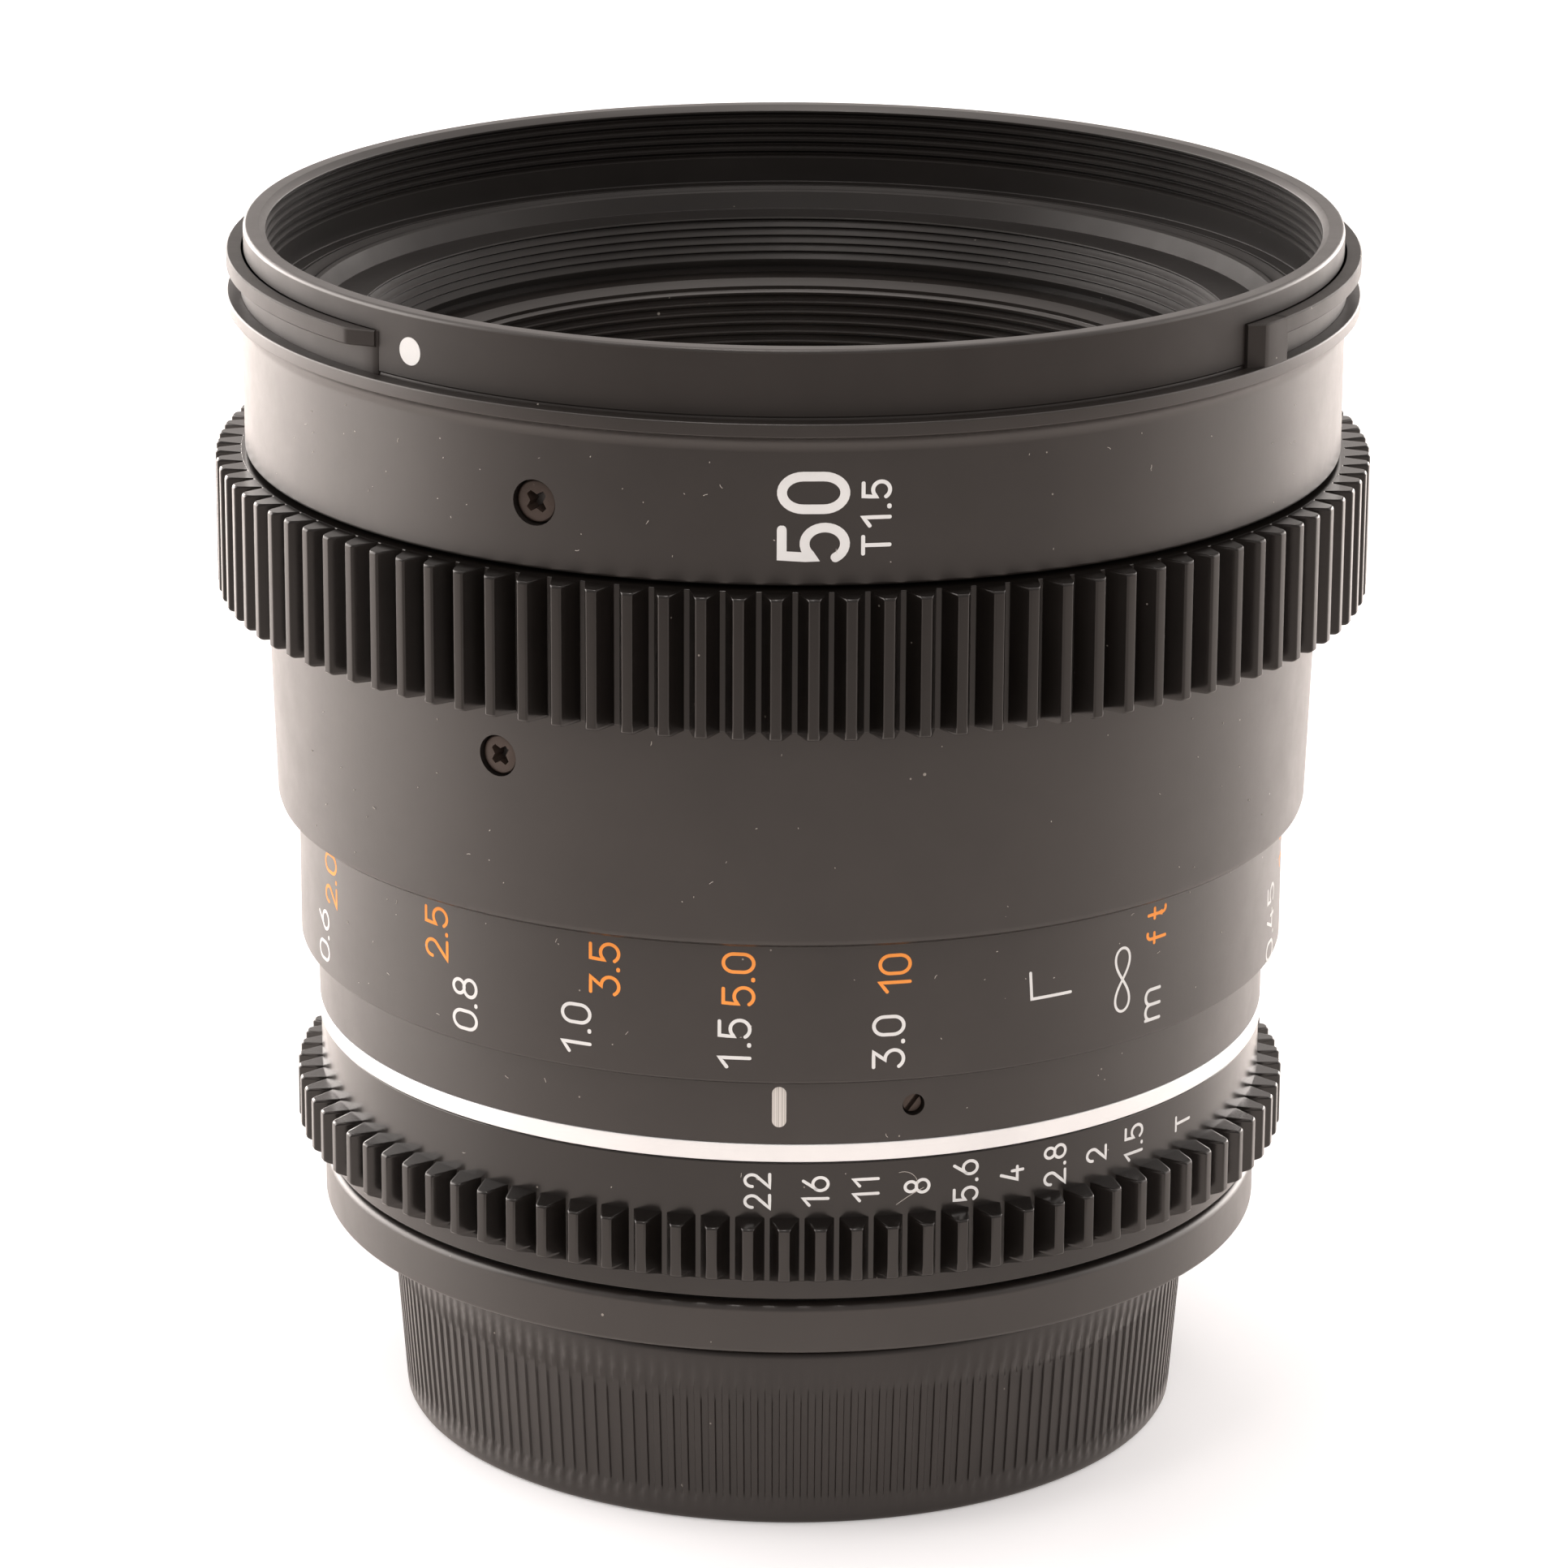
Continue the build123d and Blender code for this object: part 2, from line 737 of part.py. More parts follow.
# Index band: the fixed band over the silver ring, with its bar's groove and grub screw holes
with BuildPart() as index_band:
    revolve(
        outline(
            [
                (ring_bore, silver_z + silver_gap),
                (silver_radius - silver_width - seat_gap, silver_z + silver_gap),
                (silver_radius - silver_width - seat_gap, index_z),
                (index_radius, index_z),
                (index_radius, index_top_z),
                (ring_bore, index_top_z),
            ]
        ),
        axis=Axis.Z,
    )
    with BuildSketch(*[across(angle, 0, set_screw_z) for angle in set_screw_angles]):
        Circle(set_screw_radius + seat_gap)
    extrude(amount=index_radius + overrun, mode=Mode.SUBTRACT)
    with BuildSketch(across(0, index_radius - index_bar_depth, index_bar_z)):
        SlotOverall(index_bar_length, index_bar_width, rotation=90)
    extrude(amount=overrun, mode=Mode.SUBTRACT)
index_band.part.label = "index_band"
export_step(index_band.part, "parts/index_band.step")


# Index bar: a bright bar with round ends, let into the index band
with BuildPart() as index_bar:
    with BuildSketch(across(0, index_radius - index_bar_depth, index_bar_z)):
        SlotOverall(index_bar_length, index_bar_width, rotation=90)
    extrude(amount=index_bar_depth)
index_bar.part.label = "index_bar"
export_step(index_bar.part, "parts/index_bar.step")


# Band set screws: slotted grub screws that bear on the guide tube
with BuildPart() as band_set_screws:
    with BuildSketch(*[across(angle, ring_bore, set_screw_z) for angle in set_screw_angles]):
        Circle(set_screw_radius)
    extrude(amount=index_radius - set_screw_recess - ring_bore)
    with BuildSketch(*[across(angle, set_screw_slot_floor, set_screw_z) for angle in set_screw_angles]):
        Rectangle(4 * set_screw_radius, set_screw_slot)
    extrude(amount=overrun, mode=Mode.SUBTRACT)
band_set_screws.part.label = "band_set_screws"
export_step(band_set_screws.part, "parts/band_set_screws.step")


# Silver ring, under the index band
with BuildPart() as silver_ring:
    revolve(band(silver_radius - silver_width, silver_radius, silver_z, index_z), axis=Axis.Z)
silver_ring.part.label = "silver_ring"
export_step(silver_ring.part, "parts/silver_ring.step")


# Iris ring: the T-stop band, with follow-focus teeth that taper at both ends
with BuildPart() as iris_ring:
    gear_z = iris_z + iris_base_height
    gear_top_z = gear_z + iris_gear_height
    with BuildSketch(Plane.XY.offset(gear_z)):
        with BuildLine():
            points = toothed_outline(iris_teeth, iris_band_radius, iris_tip_radius, iris_tooth_phase)
            Polyline(*points, close=True)
        make_face()
        Circle(ring_bore, mode=Mode.SUBTRACT)
    extrude(amount=iris_gear_height)
    add(
        tooth_envelope(
            iris_teeth,
            iris_band_radius + tooth_end_step,
            iris_tooth_phase,
            gear_z,
            iris_gear_height,
            (tooth_depth - tooth_end_step) / iris_gear_taper,
        ),
        mode=Mode.INTERSECT,
    )
    revolve(band(ring_bore, iris_base_radius, iris_z, gear_z), axis=Axis.Z)
    revolve(band(ring_bore, iris_band_radius, gear_top_z, iris_top_z), axis=Axis.Z)
    with BuildSketch(Plane.XY.offset(fork_z)):
        add(tongue(ring_bore - overrun, fork_seat_radius, fork_width + 2 * seat_gap, fork_angle))
    extrude(amount=iris_height, mode=Mode.SUBTRACT)
iris_ring.part.label = "iris_ring"
export_step(iris_ring.part, "parts/iris_ring.step")


# Iris fork: an arm from the iris ring, through the guide tube's window, to the drive pin
with BuildPart() as iris_fork:
    with BuildSketch(Plane.XY.offset(fork_z)):
        add(tongue(fork_tip_radius, fork_seat_radius - seat_gap, fork_width, fork_angle))
        add(
            tongue(
                fork_tip_radius - overrun,
                drive_pin_circle_radius + drive_pin_radius + fork_room,
                2 * (drive_pin_radius + running_gap),
                fork_angle,
            ),
            mode=Mode.SUBTRACT,
        )
    extrude(amount=fork_thickness)
iris_fork.part.label = "iris_fork"
export_step(iris_fork.part, "parts/iris_fork.step")


# Focus retaining ring: threaded on the guide tube, it carries the cam sleeve
with BuildPart() as focus_retaining_ring:
    revolve(
        band(sleeve_bore, sleeve_radius - thrust_gap, retainer_z, retainer_z + retainer_height), axis=Axis.Z
    )
focus_retaining_ring.part.label = "focus_retaining_ring"
export_step(focus_retaining_ring.part, "parts/focus_retaining_ring.step")


# One helical slot's cutter: a left-hand helix that climbs as the sleeve turns to near distances
slot_half_width = roller_radius + running_gap
slot_start_z = -focus_lead_height * (focus_far_turn + slot_end_turn) / full_turn
slot_turn = focus_near_turn + focus_far_turn + 2 * slot_end_turn
with BuildPart() as slot_cutter:
    with BuildLine() as slot_path:
        Helix(
            pitch=focus_lead_height,
            height=focus_lead_height * slot_turn / full_turn,
            radius=(sleeve_bore + sleeve_radius) / 2,
            lefthand=True,
        )
    with BuildSketch(Plane(origin=slot_path.line @ 0, x_dir=(1, 0, 0), z_dir=slot_path.line % 0)):
        Rectangle(sleeve_wall + 2 * overrun, 2 * slot_half_width)
    sweep(is_frenet=True)


# Cam sleeve: turns with the focus ring and lifts the optical unit by its three rollers
with BuildPart() as cam_sleeve:
    revolve(band(sleeve_bore, sleeve_radius, sleeve_z, sleeve_top_z), axis=Axis.Z)
    for angle in roller_angles:
        first_angle = angle + index_side + focus_far_turn + slot_end_turn
        with Locations(Location((0, 0, roller_z + slot_start_z), (0, 0, first_angle))):
            add(slot_cutter.part, mode=Mode.SUBTRACT)
    # Notch in the top edge, which takes the stop block
    with BuildSketch(Plane.XY.offset(sleeve_top_z - stop_height)):
        add(
            sector(
                sleeve_bore - overrun,
                sleeve_radius + overrun,
                full_turn / 2 - stop_span / 2 - focus_near_turn - stop_margin,
                stop_span + focus_near_turn + focus_far_turn + 2 * stop_margin,
            )
        )
    extrude(amount=stop_height + overrun, mode=Mode.SUBTRACT)
    with BuildSketch(*[across(angle, 0, grip_screw_z) for angle in grip_screw_angles]):
        Circle(screw_radius + seat_gap)
    extrude(amount=sleeve_radius + overrun, mode=Mode.SUBTRACT)
cam_sleeve.part.label = "cam_sleeve"
export_step(cam_sleeve.part, "parts/cam_sleeve.step")


# Focus stop: a block under the front flange, in the cam sleeve's notch
with BuildPart() as focus_stop:
    with BuildSketch(Plane.XY.offset(guide_flange_z)):
        add(sector(sleeve_bore, sleeve_radius - seat_gap, full_turn / 2 - stop_span / 2, stop_span))
    extrude(amount=-stop_height)
focus_stop.part.label = "focus_stop"
export_step(focus_stop.part, "parts/focus_stop.step")


# Focus grip ring: distance scale, shoulder, slightly conical barrel, gear seat and the web to the cam sleeve
with BuildPart() as focus_grip_ring:
    revolve(
        outline(
            [
                (scale_radius - scale_wall, scale_z),
                (scale_radius, scale_z),
                (scale_radius, shoulder_z),
                (shoulder_radius - shoulder_round, shoulder_z),
                (shoulder_radius, shoulder_z + shoulder_round),
                (grip_radius, focus_gear_z),
                (gear_seat_radius, focus_gear_z),
                (gear_seat_radius, focus_gear_top_z),
                (skirt_radius, focus_gear_top_z),
                (skirt_radius, grip_top_z),
                (grip_bore, grip_top_z),
                (grip_bore, web_z + web_height),
                (sleeve_radius + seat_gap, web_z + web_height),
                (sleeve_radius + seat_gap, web_z),
                (scale_radius - scale_wall, web_z),
            ]
        ),
        axis=Axis.Z,
    )
    with BuildSketch(*[across(angle, 0, grip_screw_z) for angle in grip_screw_angles]):
        Circle(screw_radius + seat_gap)
    extrude(amount=grip_radius + overrun, mode=Mode.SUBTRACT)
    with BuildSketch(*[across(angle, grip_head_radius, grip_screw_z) for angle in grip_screw_angles]):
        Circle(screw_head_radius + seat_gap)
    extrude(amount=overrun, mode=Mode.SUBTRACT)
focus_grip_ring.part.label = "focus_grip_ring"
export_step(focus_grip_ring.part, "parts/focus_grip_ring.step")


# Focus ring screws: through the grip ring's web into the cam sleeve
with BuildPart() as focus_ring_screws:
    with BuildSketch(*[across(angle, grip_head_radius, grip_screw_z) for angle in grip_screw_angles]):
        Circle(screw_head_radius)
    extrude(amount=screw_head_height)
    with BuildSketch(*[across(angle, sleeve_bore + seat_gap, grip_screw_z) for angle in grip_screw_angles]):
        Circle(screw_radius)
    extrude(amount=grip_head_radius - sleeve_bore)
focus_ring_screws.part.label = "focus_ring_screws"
export_step(focus_ring_screws.part, "parts/focus_ring_screws.step")


# Focus gear ring: module 0.8 teeth with chamfered ends, on the grip ring's seat
with BuildPart() as focus_gear_ring:
    with BuildSketch(Plane.XY.offset(focus_gear_z)):
        with BuildLine():
            points = toothed_outline(focus_teeth, focus_root_radius, focus_tip_radius, focus_tooth_phase)
            Polyline(*points, close=True)
        make_face()
        Circle(gear_seat_radius + seat_gap, mode=Mode.SUBTRACT)
    extrude(amount=focus_gear_face)
    add(
        tooth_envelope(
            focus_teeth,
            focus_tip_radius - focus_gear_chamfer,
            focus_tooth_phase,
            focus_gear_z,
            focus_gear_face,
            chamfer_slope,
        ),
        mode=Mode.INTERSECT,
    )
focus_gear_ring.part.label = "focus_gear_ring"
export_step(focus_gear_ring.part, "parts/focus_gear_ring.step")


# Front barrel: plain band, ledge, hood bayonet, rim and the bore of the filter thread
with BuildPart() as front_barrel:
    revolve(
        outline(
            [
                (barrel_bore, barrel_z),
                (barrel_radius, barrel_z),
                (barrel_radius, cove_z),
                (barrel_radius + cove_share * (lip_radius - barrel_radius), lip_z - cove_share * cove_height),
                (lip_radius, lip_z),
                (lip_radius, lip_top_z),
                (hood_tube_radius, lip_top_z),
                (hood_tube_radius, rim_z - rim_round),
                (hood_tube_radius - rim_round, rim_z),
                (thread_bore + thread_chamfer, rim_z),
                (thread_bore, rim_z - thread_chamfer),
                (thread_bore, ledge_z),
                (barrel_bore, ledge_z),
            ]
        ),
        axis=Axis.Z,
    )
    # Hood bayonet: each lug is a tall stop and the rib that runs on from it
    for n in range(hood_lug_count):
        turn = n * full_turn / hood_lug_count
        start = hood_stop_angle + turn
        finish = hood_lug_end + turn
        rake = start + hood_stop_rake
        with BuildSketch(Plane.XY.offset(lip_top_z)):
            add(sector(hood_root_radius, hood_pad_radius, start, hood_lug_end - hood_stop_angle))
            stop_end = rake + hood_stop_span
            add(raked(hood_root_radius, hood_pad_radius, lip_radius, start, rake, stop_end, stop_end))
        extrude(amount=hood_groove)
        with BuildSketch(Plane.XY.offset(rib_z)):
            rib_end = finish - hood_lug_taper
            add(raked(hood_root_radius, hood_pad_radius, lip_radius, start, rake, rib_end, finish))
        extrude(amount=hood_rib)
    with BuildSketch(*[across(angle, 0, barrel_screw_z) for angle in barrel_screw_angles]):
        Circle(screw_radius + seat_gap)
    extrude(amount=barrel_radius + overrun, mode=Mode.SUBTRACT)
    with BuildSketch(*[across(angle, barrel_head_radius, barrel_screw_z) for angle in barrel_screw_angles]):
        Circle(screw_head_radius + seat_gap)
    extrude(amount=overrun, mode=Mode.SUBTRACT)
    with BuildSketch(across(dot_angle, hood_tube_radius - dot_depth, rim_z - dot_drop)):
        Circle(dot_radius)
    extrude(amount=overrun, mode=Mode.SUBTRACT)
front_barrel.part.label = "front_barrel"
export_step(front_barrel.part, "parts/front_barrel.step")


# Front barrel screws: into the guide tube's front flange
with BuildPart() as front_barrel_screws:
    with BuildSketch(*[across(angle, barrel_head_radius, barrel_screw_z) for angle in barrel_screw_angles]):
        Circle(screw_head_radius)
    extrude(amount=screw_head_height)
    with BuildSketch(*[across(angle, screw_tip_radius, barrel_screw_z) for angle in barrel_screw_angles]):
        Circle(screw_radius)
    extrude(amount=barrel_head_radius - screw_tip_radius)
front_barrel_screws.part.label = "front_barrel_screws"
export_step(front_barrel_screws.part, "parts/front_barrel_screws.step")


# Hood index dot: a filled disc, flush in the tube
with BuildPart() as hood_index_dot:
    with BuildSketch(across(dot_angle, hood_tube_radius - dot_depth, rim_z - dot_drop)):
        Circle(dot_radius)
    extrude(amount=dot_depth)
hood_index_dot.part.label = "hood_index_dot"
export_step(hood_index_dot.part, "parts/hood_index_dot.step")


# Stepped baffle: shelf, cone, second shelf and the ribbed cone down to the guide tube's mouth
with BuildPart() as stepped_baffle:
    shelf_z = ledge_z - baffle_cone_drop
    lip_foot_z = guide_top_z - baffle_lip_drop
    revolve(
        outline(
            [
                (inner_seat_radius, guide_top_z),
                (inner_seat_radius, ledge_z),
                (shelf_outer_radius, ledge_z),
                (cone_foot_radius, shelf_z),
                (cone_mouth_radius, shelf_z),
                (baffle_inner_radius, lip_foot_z + baffle_lip_bevel),
                (baffle_inner_radius, lip_foot_z),
                (rim_ring_radius - seat_gap, lip_foot_z),
                (rim_ring_radius - seat_gap, guide_top_z),
            ]
        ),
        axis=Axis.Z,
    )
stepped_baffle.part.label = "stepped_baffle"
export_step(stepped_baffle.part, "parts/stepped_baffle.step")


# Optics barrel: slides in the guide tube, and holds the iris below its shelf and the front cell above it
cell_top_z = first["front_rim"] + seat_gap + glass_ring_height
lock_top_z = cell_top_z + lock_ring_height
with BuildPart() as optics_barrel:
    revolve(
        outline(
            [
                (chamber_radius, cover_top_z),
                (optics_radius, cover_top_z),
                (optics_radius, lock_top_z),
                (cell_radius + seat_gap, lock_top_z),
                (cell_radius + seat_gap, shelf_top_z),
                (shelf_bore, shelf_top_z),
                (shelf_bore, cam_plate_top_z),
                (chamber_radius, cam_plate_top_z),
            ]
        ),
        axis=Axis.Z,
    )
    with BuildSketch(*[across(angle, 0, roller_z) for angle in roller_angles]):
        Circle(screw_radius + seat_gap)
    extrude(amount=optics_radius + overrun, mode=Mode.SUBTRACT)
    with Locations((0, 0, cover_top_z)):
        with PolarLocations(cover_screw_circle_radius, cover_screw_count, start_angle=cover_screw_angle):
            Cylinder(
                cover_screw_radius + seat_gap,
                cover_screw_length - cover_thickness + seat_gap,
                align=upright,
                mode=Mode.SUBTRACT,
            )
optics_barrel.part.label = "optics_barrel"
export_step(optics_barrel.part, "parts/optics_barrel.step")


# Cam rollers: three bushes that run in the straight slots and the helical ones
with BuildPart() as cam_rollers:
    with BuildSketch(*[across(angle, optics_radius, roller_z) for angle in roller_angles]):
        Circle(roller_radius)
        Circle(screw_radius + seat_gap, mode=Mode.SUBTRACT)
    extrude(amount=sleeve_radius - thrust_gap - optics_radius)
    with BuildSketch(*[across(angle, roller_seat_radius, roller_z) for angle in roller_angles]):
        Circle(roller_screw_head_radius + seat_gap)
    extrude(amount=overrun, mode=Mode.SUBTRACT)
cam_rollers.part.label = "cam_rollers"
export_step(cam_rollers.part, "parts/cam_rollers.step")


# Roller screws: each holds its roller on the optics barrel
with BuildPart() as roller_screws:
    with BuildSketch(*[across(angle, roller_seat_radius, roller_z) for angle in roller_angles]):
        Circle(roller_screw_head_radius)
    extrude(amount=roller_screw_head_height)
    with BuildSketch(*[across(angle, cell_radius + 2 * seat_gap, roller_z) for angle in roller_angles]):
        Circle(screw_radius)
    extrude(amount=roller_seat_radius - cell_radius - 2 * seat_gap)
roller_screws.part.label = "roller_screws"
export_step(roller_screws.part, "parts/roller_screws.step")


# Front cell: holds the three front elements in stepped bores
with BuildPart() as front_cell:
    third_bore = third["half"] + seat_gap
    second_bore = second["half"] + seat_gap
    first_bore = first["half"] + seat_gap
    ring_bore_radius = first["half"] + glass_ring_width / 2 + seat_gap
    revolve(
        outline(
            [
                (third["clear_back"] + cell_sill, shelf_top_z),
                (cell_radius, shelf_top_z),
                (cell_radius, cell_top_z),
                (ring_bore_radius, cell_top_z),
                (ring_bore_radius, first["front_rim"] + seat_gap),
                (first_bore, first["front_rim"] + seat_gap),
                (first_bore, first["back_rim"]),
                (second_bore, first["back_rim"]),
                (second_bore, second["back_rim"]),
                (third_bore, second["back_rim"]),
                (third_bore, third["back_rim"]),
                (third["clear_back"] + cell_sill, third["back_rim"]),
            ]
        ),
        axis=Axis.Z,
    )
front_cell.part.label = "front_cell"
export_step(front_cell.part, "parts/front_cell.step")


# Front retaining ring: holds the front element, with a bevel that follows the glass
with BuildPart() as front_retaining_ring:
    ring_outer = first["half"] + glass_ring_width / 2
    ring_foot_z = first["front_rim"] + seat_gap
    revolve(
        outline(
            [
                (ring_outer, ring_foot_z),
                (first["half"], ring_foot_z),
                (ring_outer - glass_ring_width, ring_foot_z + glass_ring_bevel),
                (ring_outer - glass_ring_width, cell_top_z),
                (ring_outer, cell_top_z),
            ]
        ),
        axis=Axis.Z,
    )
front_retaining_ring.part.label = "front_retaining_ring"
export_step(front_retaining_ring.part, "parts/front_retaining_ring.step")


# Cell lock ring: threaded into the optics barrel over the front cell
with BuildPart() as cell_lock_ring:
    revolve(band(cell_radius - lock_ring_width, cell_radius, cell_top_z, lock_top_z), axis=Axis.Z)
cell_lock_ring.part.label = "cell_lock_ring"
export_step(cell_lock_ring.part, "parts/cell_lock_ring.step")


# Iris blades: eight thin leaves, each pinned to the drive ring and guided by the cam plate
def pin_place(angle, iris_turn):
    """Return where a blade's guide pin stands, for a pivot angle and a turn of the drive ring."""
    swing = blade_ratio * (iris_turn + iris_open_turn)
    side = math.radians(full_turn / 4 - swing)
    reach = (pivot_circle_radius + blade_tail_length * math.cos(side), blade_tail_length * math.sin(side))
    turn = math.radians(angle + index_side + iris_turn)
    return (
        reach[0] * math.cos(turn) - reach[1] * math.sin(turn),
        reach[0] * math.sin(turn) + reach[1] * math.cos(turn),
    )


def blade_outline():
    """Return one blade, fully open, with its pivot on the X axis and its band on the clockwise side."""
    with BuildSketch() as piece:
        with BuildLine():
            outside = CenterArc((0, 0), blade_outer_radius, -blade_sweep, blade_sweep + blade_lead)
            inside = CenterArc((0, 0), blade_inner_radius, -blade_sweep, blade_sweep + blade_lead)
            Line(outside @ 0, inside @ 0)
            Line(outside @ 1, inside @ 1)
        make_face()
        with Locations((pivot_circle_radius, 0)):
            Circle(blade_pad_radius)
        with Locations((pivot_circle_radius, blade_tail_length / 2)):
            SlotCenterToCenter(blade_tail_length, 2 * blade_tail_radius, rotation=90)
    return piece.sketch


for number, angle in enumerate(blade_angles):
    blade_z = iris_level_z + number * blade_step_z
    with BuildPart() as iris_blade:
        with BuildSketch(Plane.XY.offset(blade_z)):
            add(
                blade_outline()
                .rotate(Axis((pivot_circle_radius, 0, 0), (0, 0, 1)), -blade_rest_turn)
                .rotate(Axis.Z, angle + index_side)
            )
        extrude(amount=blade_thickness)
        with BuildSketch(Plane.XY.offset(drive_z + thrust_gap)):
            with PolarLocations(pivot_circle_radius, 1, start_angle=angle + index_side):
                Circle(blade_pin_radius)
        extrude(amount=blade_z + blade_thickness / 2 - drive_z - thrust_gap)
        with BuildSketch(Plane.XY.offset(blade_z + blade_thickness / 2)):
            with Locations(pin_place(angle, 0)):
                Circle(blade_pin_radius)
        extrude(amount=cam_plate_top_z - thrust_gap - blade_z - blade_thickness / 2)
    iris_blade.part.label = "iris_blade_" + str(number + 1)
    export_step(iris_blade.part, "parts/iris_blade_" + str(number + 1) + ".step")


# Iris drive ring: carries the eight blade pivots and is turned by the drive pin
with BuildPart() as iris_drive_ring:
    revolve(band(drive_bore, iris_plate_radius, drive_z, drive_top_z), axis=Axis.Z)
    with Locations((0, 0, drive_z)):
        with PolarLocations(pivot_circle_radius, blade_count, start_angle=index_side):
            Cylinder(blade_pin_radius + running_gap, drive_thickness, align=upright, mode=Mode.SUBTRACT)
iris_drive_ring.part.label = "iris_drive_ring"
export_step(iris_drive_ring.part, "parts/iris_drive_ring.step")


# Iris drive pin: hangs from the drive ring into the fork, through the whole focus travel
with BuildPart() as iris_drive_pin:
    pin_foot_z = plate_top_z + drive_pin_foot_gap + far_travel
    with BuildSketch(Plane.XY.offset(pin_foot_z)):
        with PolarLocations(drive_pin_circle_radius, 1, start_angle=fork_angle + index_side):
            Circle(drive_pin_radius)
    extrude(amount=drive_z - pin_foot_z)
iris_drive_pin.part.label = "iris_drive_pin"
export_step(iris_drive_pin.part, "parts/iris_drive_pin.step")


# Iris cam plate: eight curved slots that swing the blades as the drive ring turns
with BuildPart() as iris_cam_plate:
    slot_width = 2 * (blade_pin_radius + cam_slot_gap)
    revolve(band(drive_bore, iris_plate_radius, cam_plate_z, cam_plate_top_z), axis=Axis.Z)
    with BuildSketch(Plane.XY.offset(cam_plate_z)):
        for angle in blade_angles:
            with BuildLine(mode=Mode.PRIVATE) as slot_line:
                ThreePointArc(
                    pin_place(angle, -iris_open_turn),
                    pin_place(angle, (iris_close_turn - iris_open_turn) / 2),
                    pin_place(angle, iris_close_turn),
                )
            SlotArc(slot_line.line.edges()[0], slot_width)
    extrude(amount=cam_plate_thickness, mode=Mode.SUBTRACT)
iris_cam_plate.part.label = "iris_cam_plate"
export_step(iris_cam_plate.part, "parts/iris_cam_plate.step")


# Iris cover: closes the chamber, with an arc window for the drive pin
with BuildPart() as iris_cover:
    pin_half_angle = math.degrees(math.asin(drive_pin_radius / drive_pin_circle_radius))
    revolve(band(cover_bore, optics_radius - seat_gap, cover_z, cover_top_z), axis=Axis.Z)
    with BuildSketch(Plane.XY.offset(cover_z)):
        add(
            sector(
                drive_pin_circle_radius - drive_pin_radius - fork_room,
                drive_pin_circle_radius + drive_pin_radius + fork_room,
                fork_angle - iris_open_turn - pin_half_angle - window_margin,
                iris_open_turn + iris_close_turn + 2 * (pin_half_angle + window_margin),
            )
        )
    extrude(amount=cover_thickness, mode=Mode.SUBTRACT)
    with Locations((0, 0, cover_z)):
        with PolarLocations(cover_screw_circle_radius, cover_screw_count, start_angle=cover_screw_angle):
            Cylinder(cover_screw_radius + seat_gap, cover_thickness, align=upright, mode=Mode.SUBTRACT)
iris_cover.part.label = "iris_cover"
export_step(iris_cover.part, "parts/iris_cover.step")


# Cover screws: four small screws up into the optics barrel
with BuildPart() as cover_screws:
    with Locations((0, 0, cover_z)):
        with PolarLocations(cover_screw_circle_radius, cover_screw_count, start_angle=cover_screw_angle):
            Cylinder(cover_screw_radius, cover_screw_length, align=upright)
    with Locations((0, 0, cover_z - cover_screw_head_height)):
        with PolarLocations(cover_screw_circle_radius, cover_screw_count, start_angle=cover_screw_angle):
            Cylinder(cover_screw_head_radius, cover_screw_head_height, align=upright)
cover_screws.part.label = "cover_screws"
export_step(cover_screws.part, "parts/cover_screws.step")


# Rear cell: hangs under the iris cover and holds the four rear elements
rear_ring_top_z = seventh["back_rim"] - glass_seat_drop
rear_foot_z = rear_ring_top_z - rear_ring_height - rear_cell_rim
with BuildPart() as rear_cell:
    cemented_bore = fourth["half"] + seat_gap
    rear_bore = sixth["half"] + seat_gap
    revolve(
        outline(
            [
                (rear_bore, rear_foot_z),
                (rear_cell_radius, rear_foot_z),
                (rear_cell_radius, cover_z - rear_cell_flange_height),
                (rear_cell_flange_radius, cover_z - rear_cell_flange_height),
                (rear_cell_flange_radius, cover_z),
                (fourth["clear_front"] + cell_sill, cover_z),
                (fourth["clear_front"] + cell_sill, fourth["front_rim"]),
                (cemented_bore, fourth["front_rim"]),
                (cemented_bore, sixth["front_rim"]),
                (rear_bore, sixth["front_rim"]),
            ]
        ),
        axis=Axis.Z,
    )
rear_cell.part.label = "rear_cell"
export_step(rear_cell.part, "parts/rear_cell.step")


# Rear spacers: one under the cemented pair, one between the last two elements
with BuildPart() as rear_spacers:
    revolve(
        outline(
            [
                (fifth["half"], sixth["front_rim"]),
                (fifth["half"], fifth["back_rim"]),
                (fifth["half"] - spacer_width, fifth["back_rim"] - spacer_bevel),
                (fifth["half"] - spacer_width, sixth["front_rim"]),
            ]
        ),
        axis=Axis.Z,
    )
    revolve(
        outline(
            [
                (sixth["half"], seventh["front_rim"] + glass_seat_drop),
                (sixth["half"], sixth["back_rim"]),
                (sixth["half"] - spacer_width, sixth["back_rim"] - spacer_bevel),
                (sixth["half"] - spacer_width, seventh["front_rim"] + glass_seat_drop),
            ]
        ),
        axis=Axis.Z,
    )
rear_spacers.part.label = "rear_spacers"
export_step(rear_spacers.part, "parts/rear_spacers.step")


# Rear retaining ring: holds the last element
with BuildPart() as rear_retaining_ring:
    revolve(
        band(
            sixth["half"] - spacer_width,
            sixth["half"],
            rear_ring_top_z - rear_ring_height,
            rear_ring_top_z,
        ),
        axis=Axis.Z,
    )
rear_retaining_ring.part.label = "rear_retaining_ring"
export_step(rear_retaining_ring.part, "parts/rear_retaining_ring.step")
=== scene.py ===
import json
import math
import random

import bmesh
import bpy
import numpy as np
from mathutils import Matrix, Vector


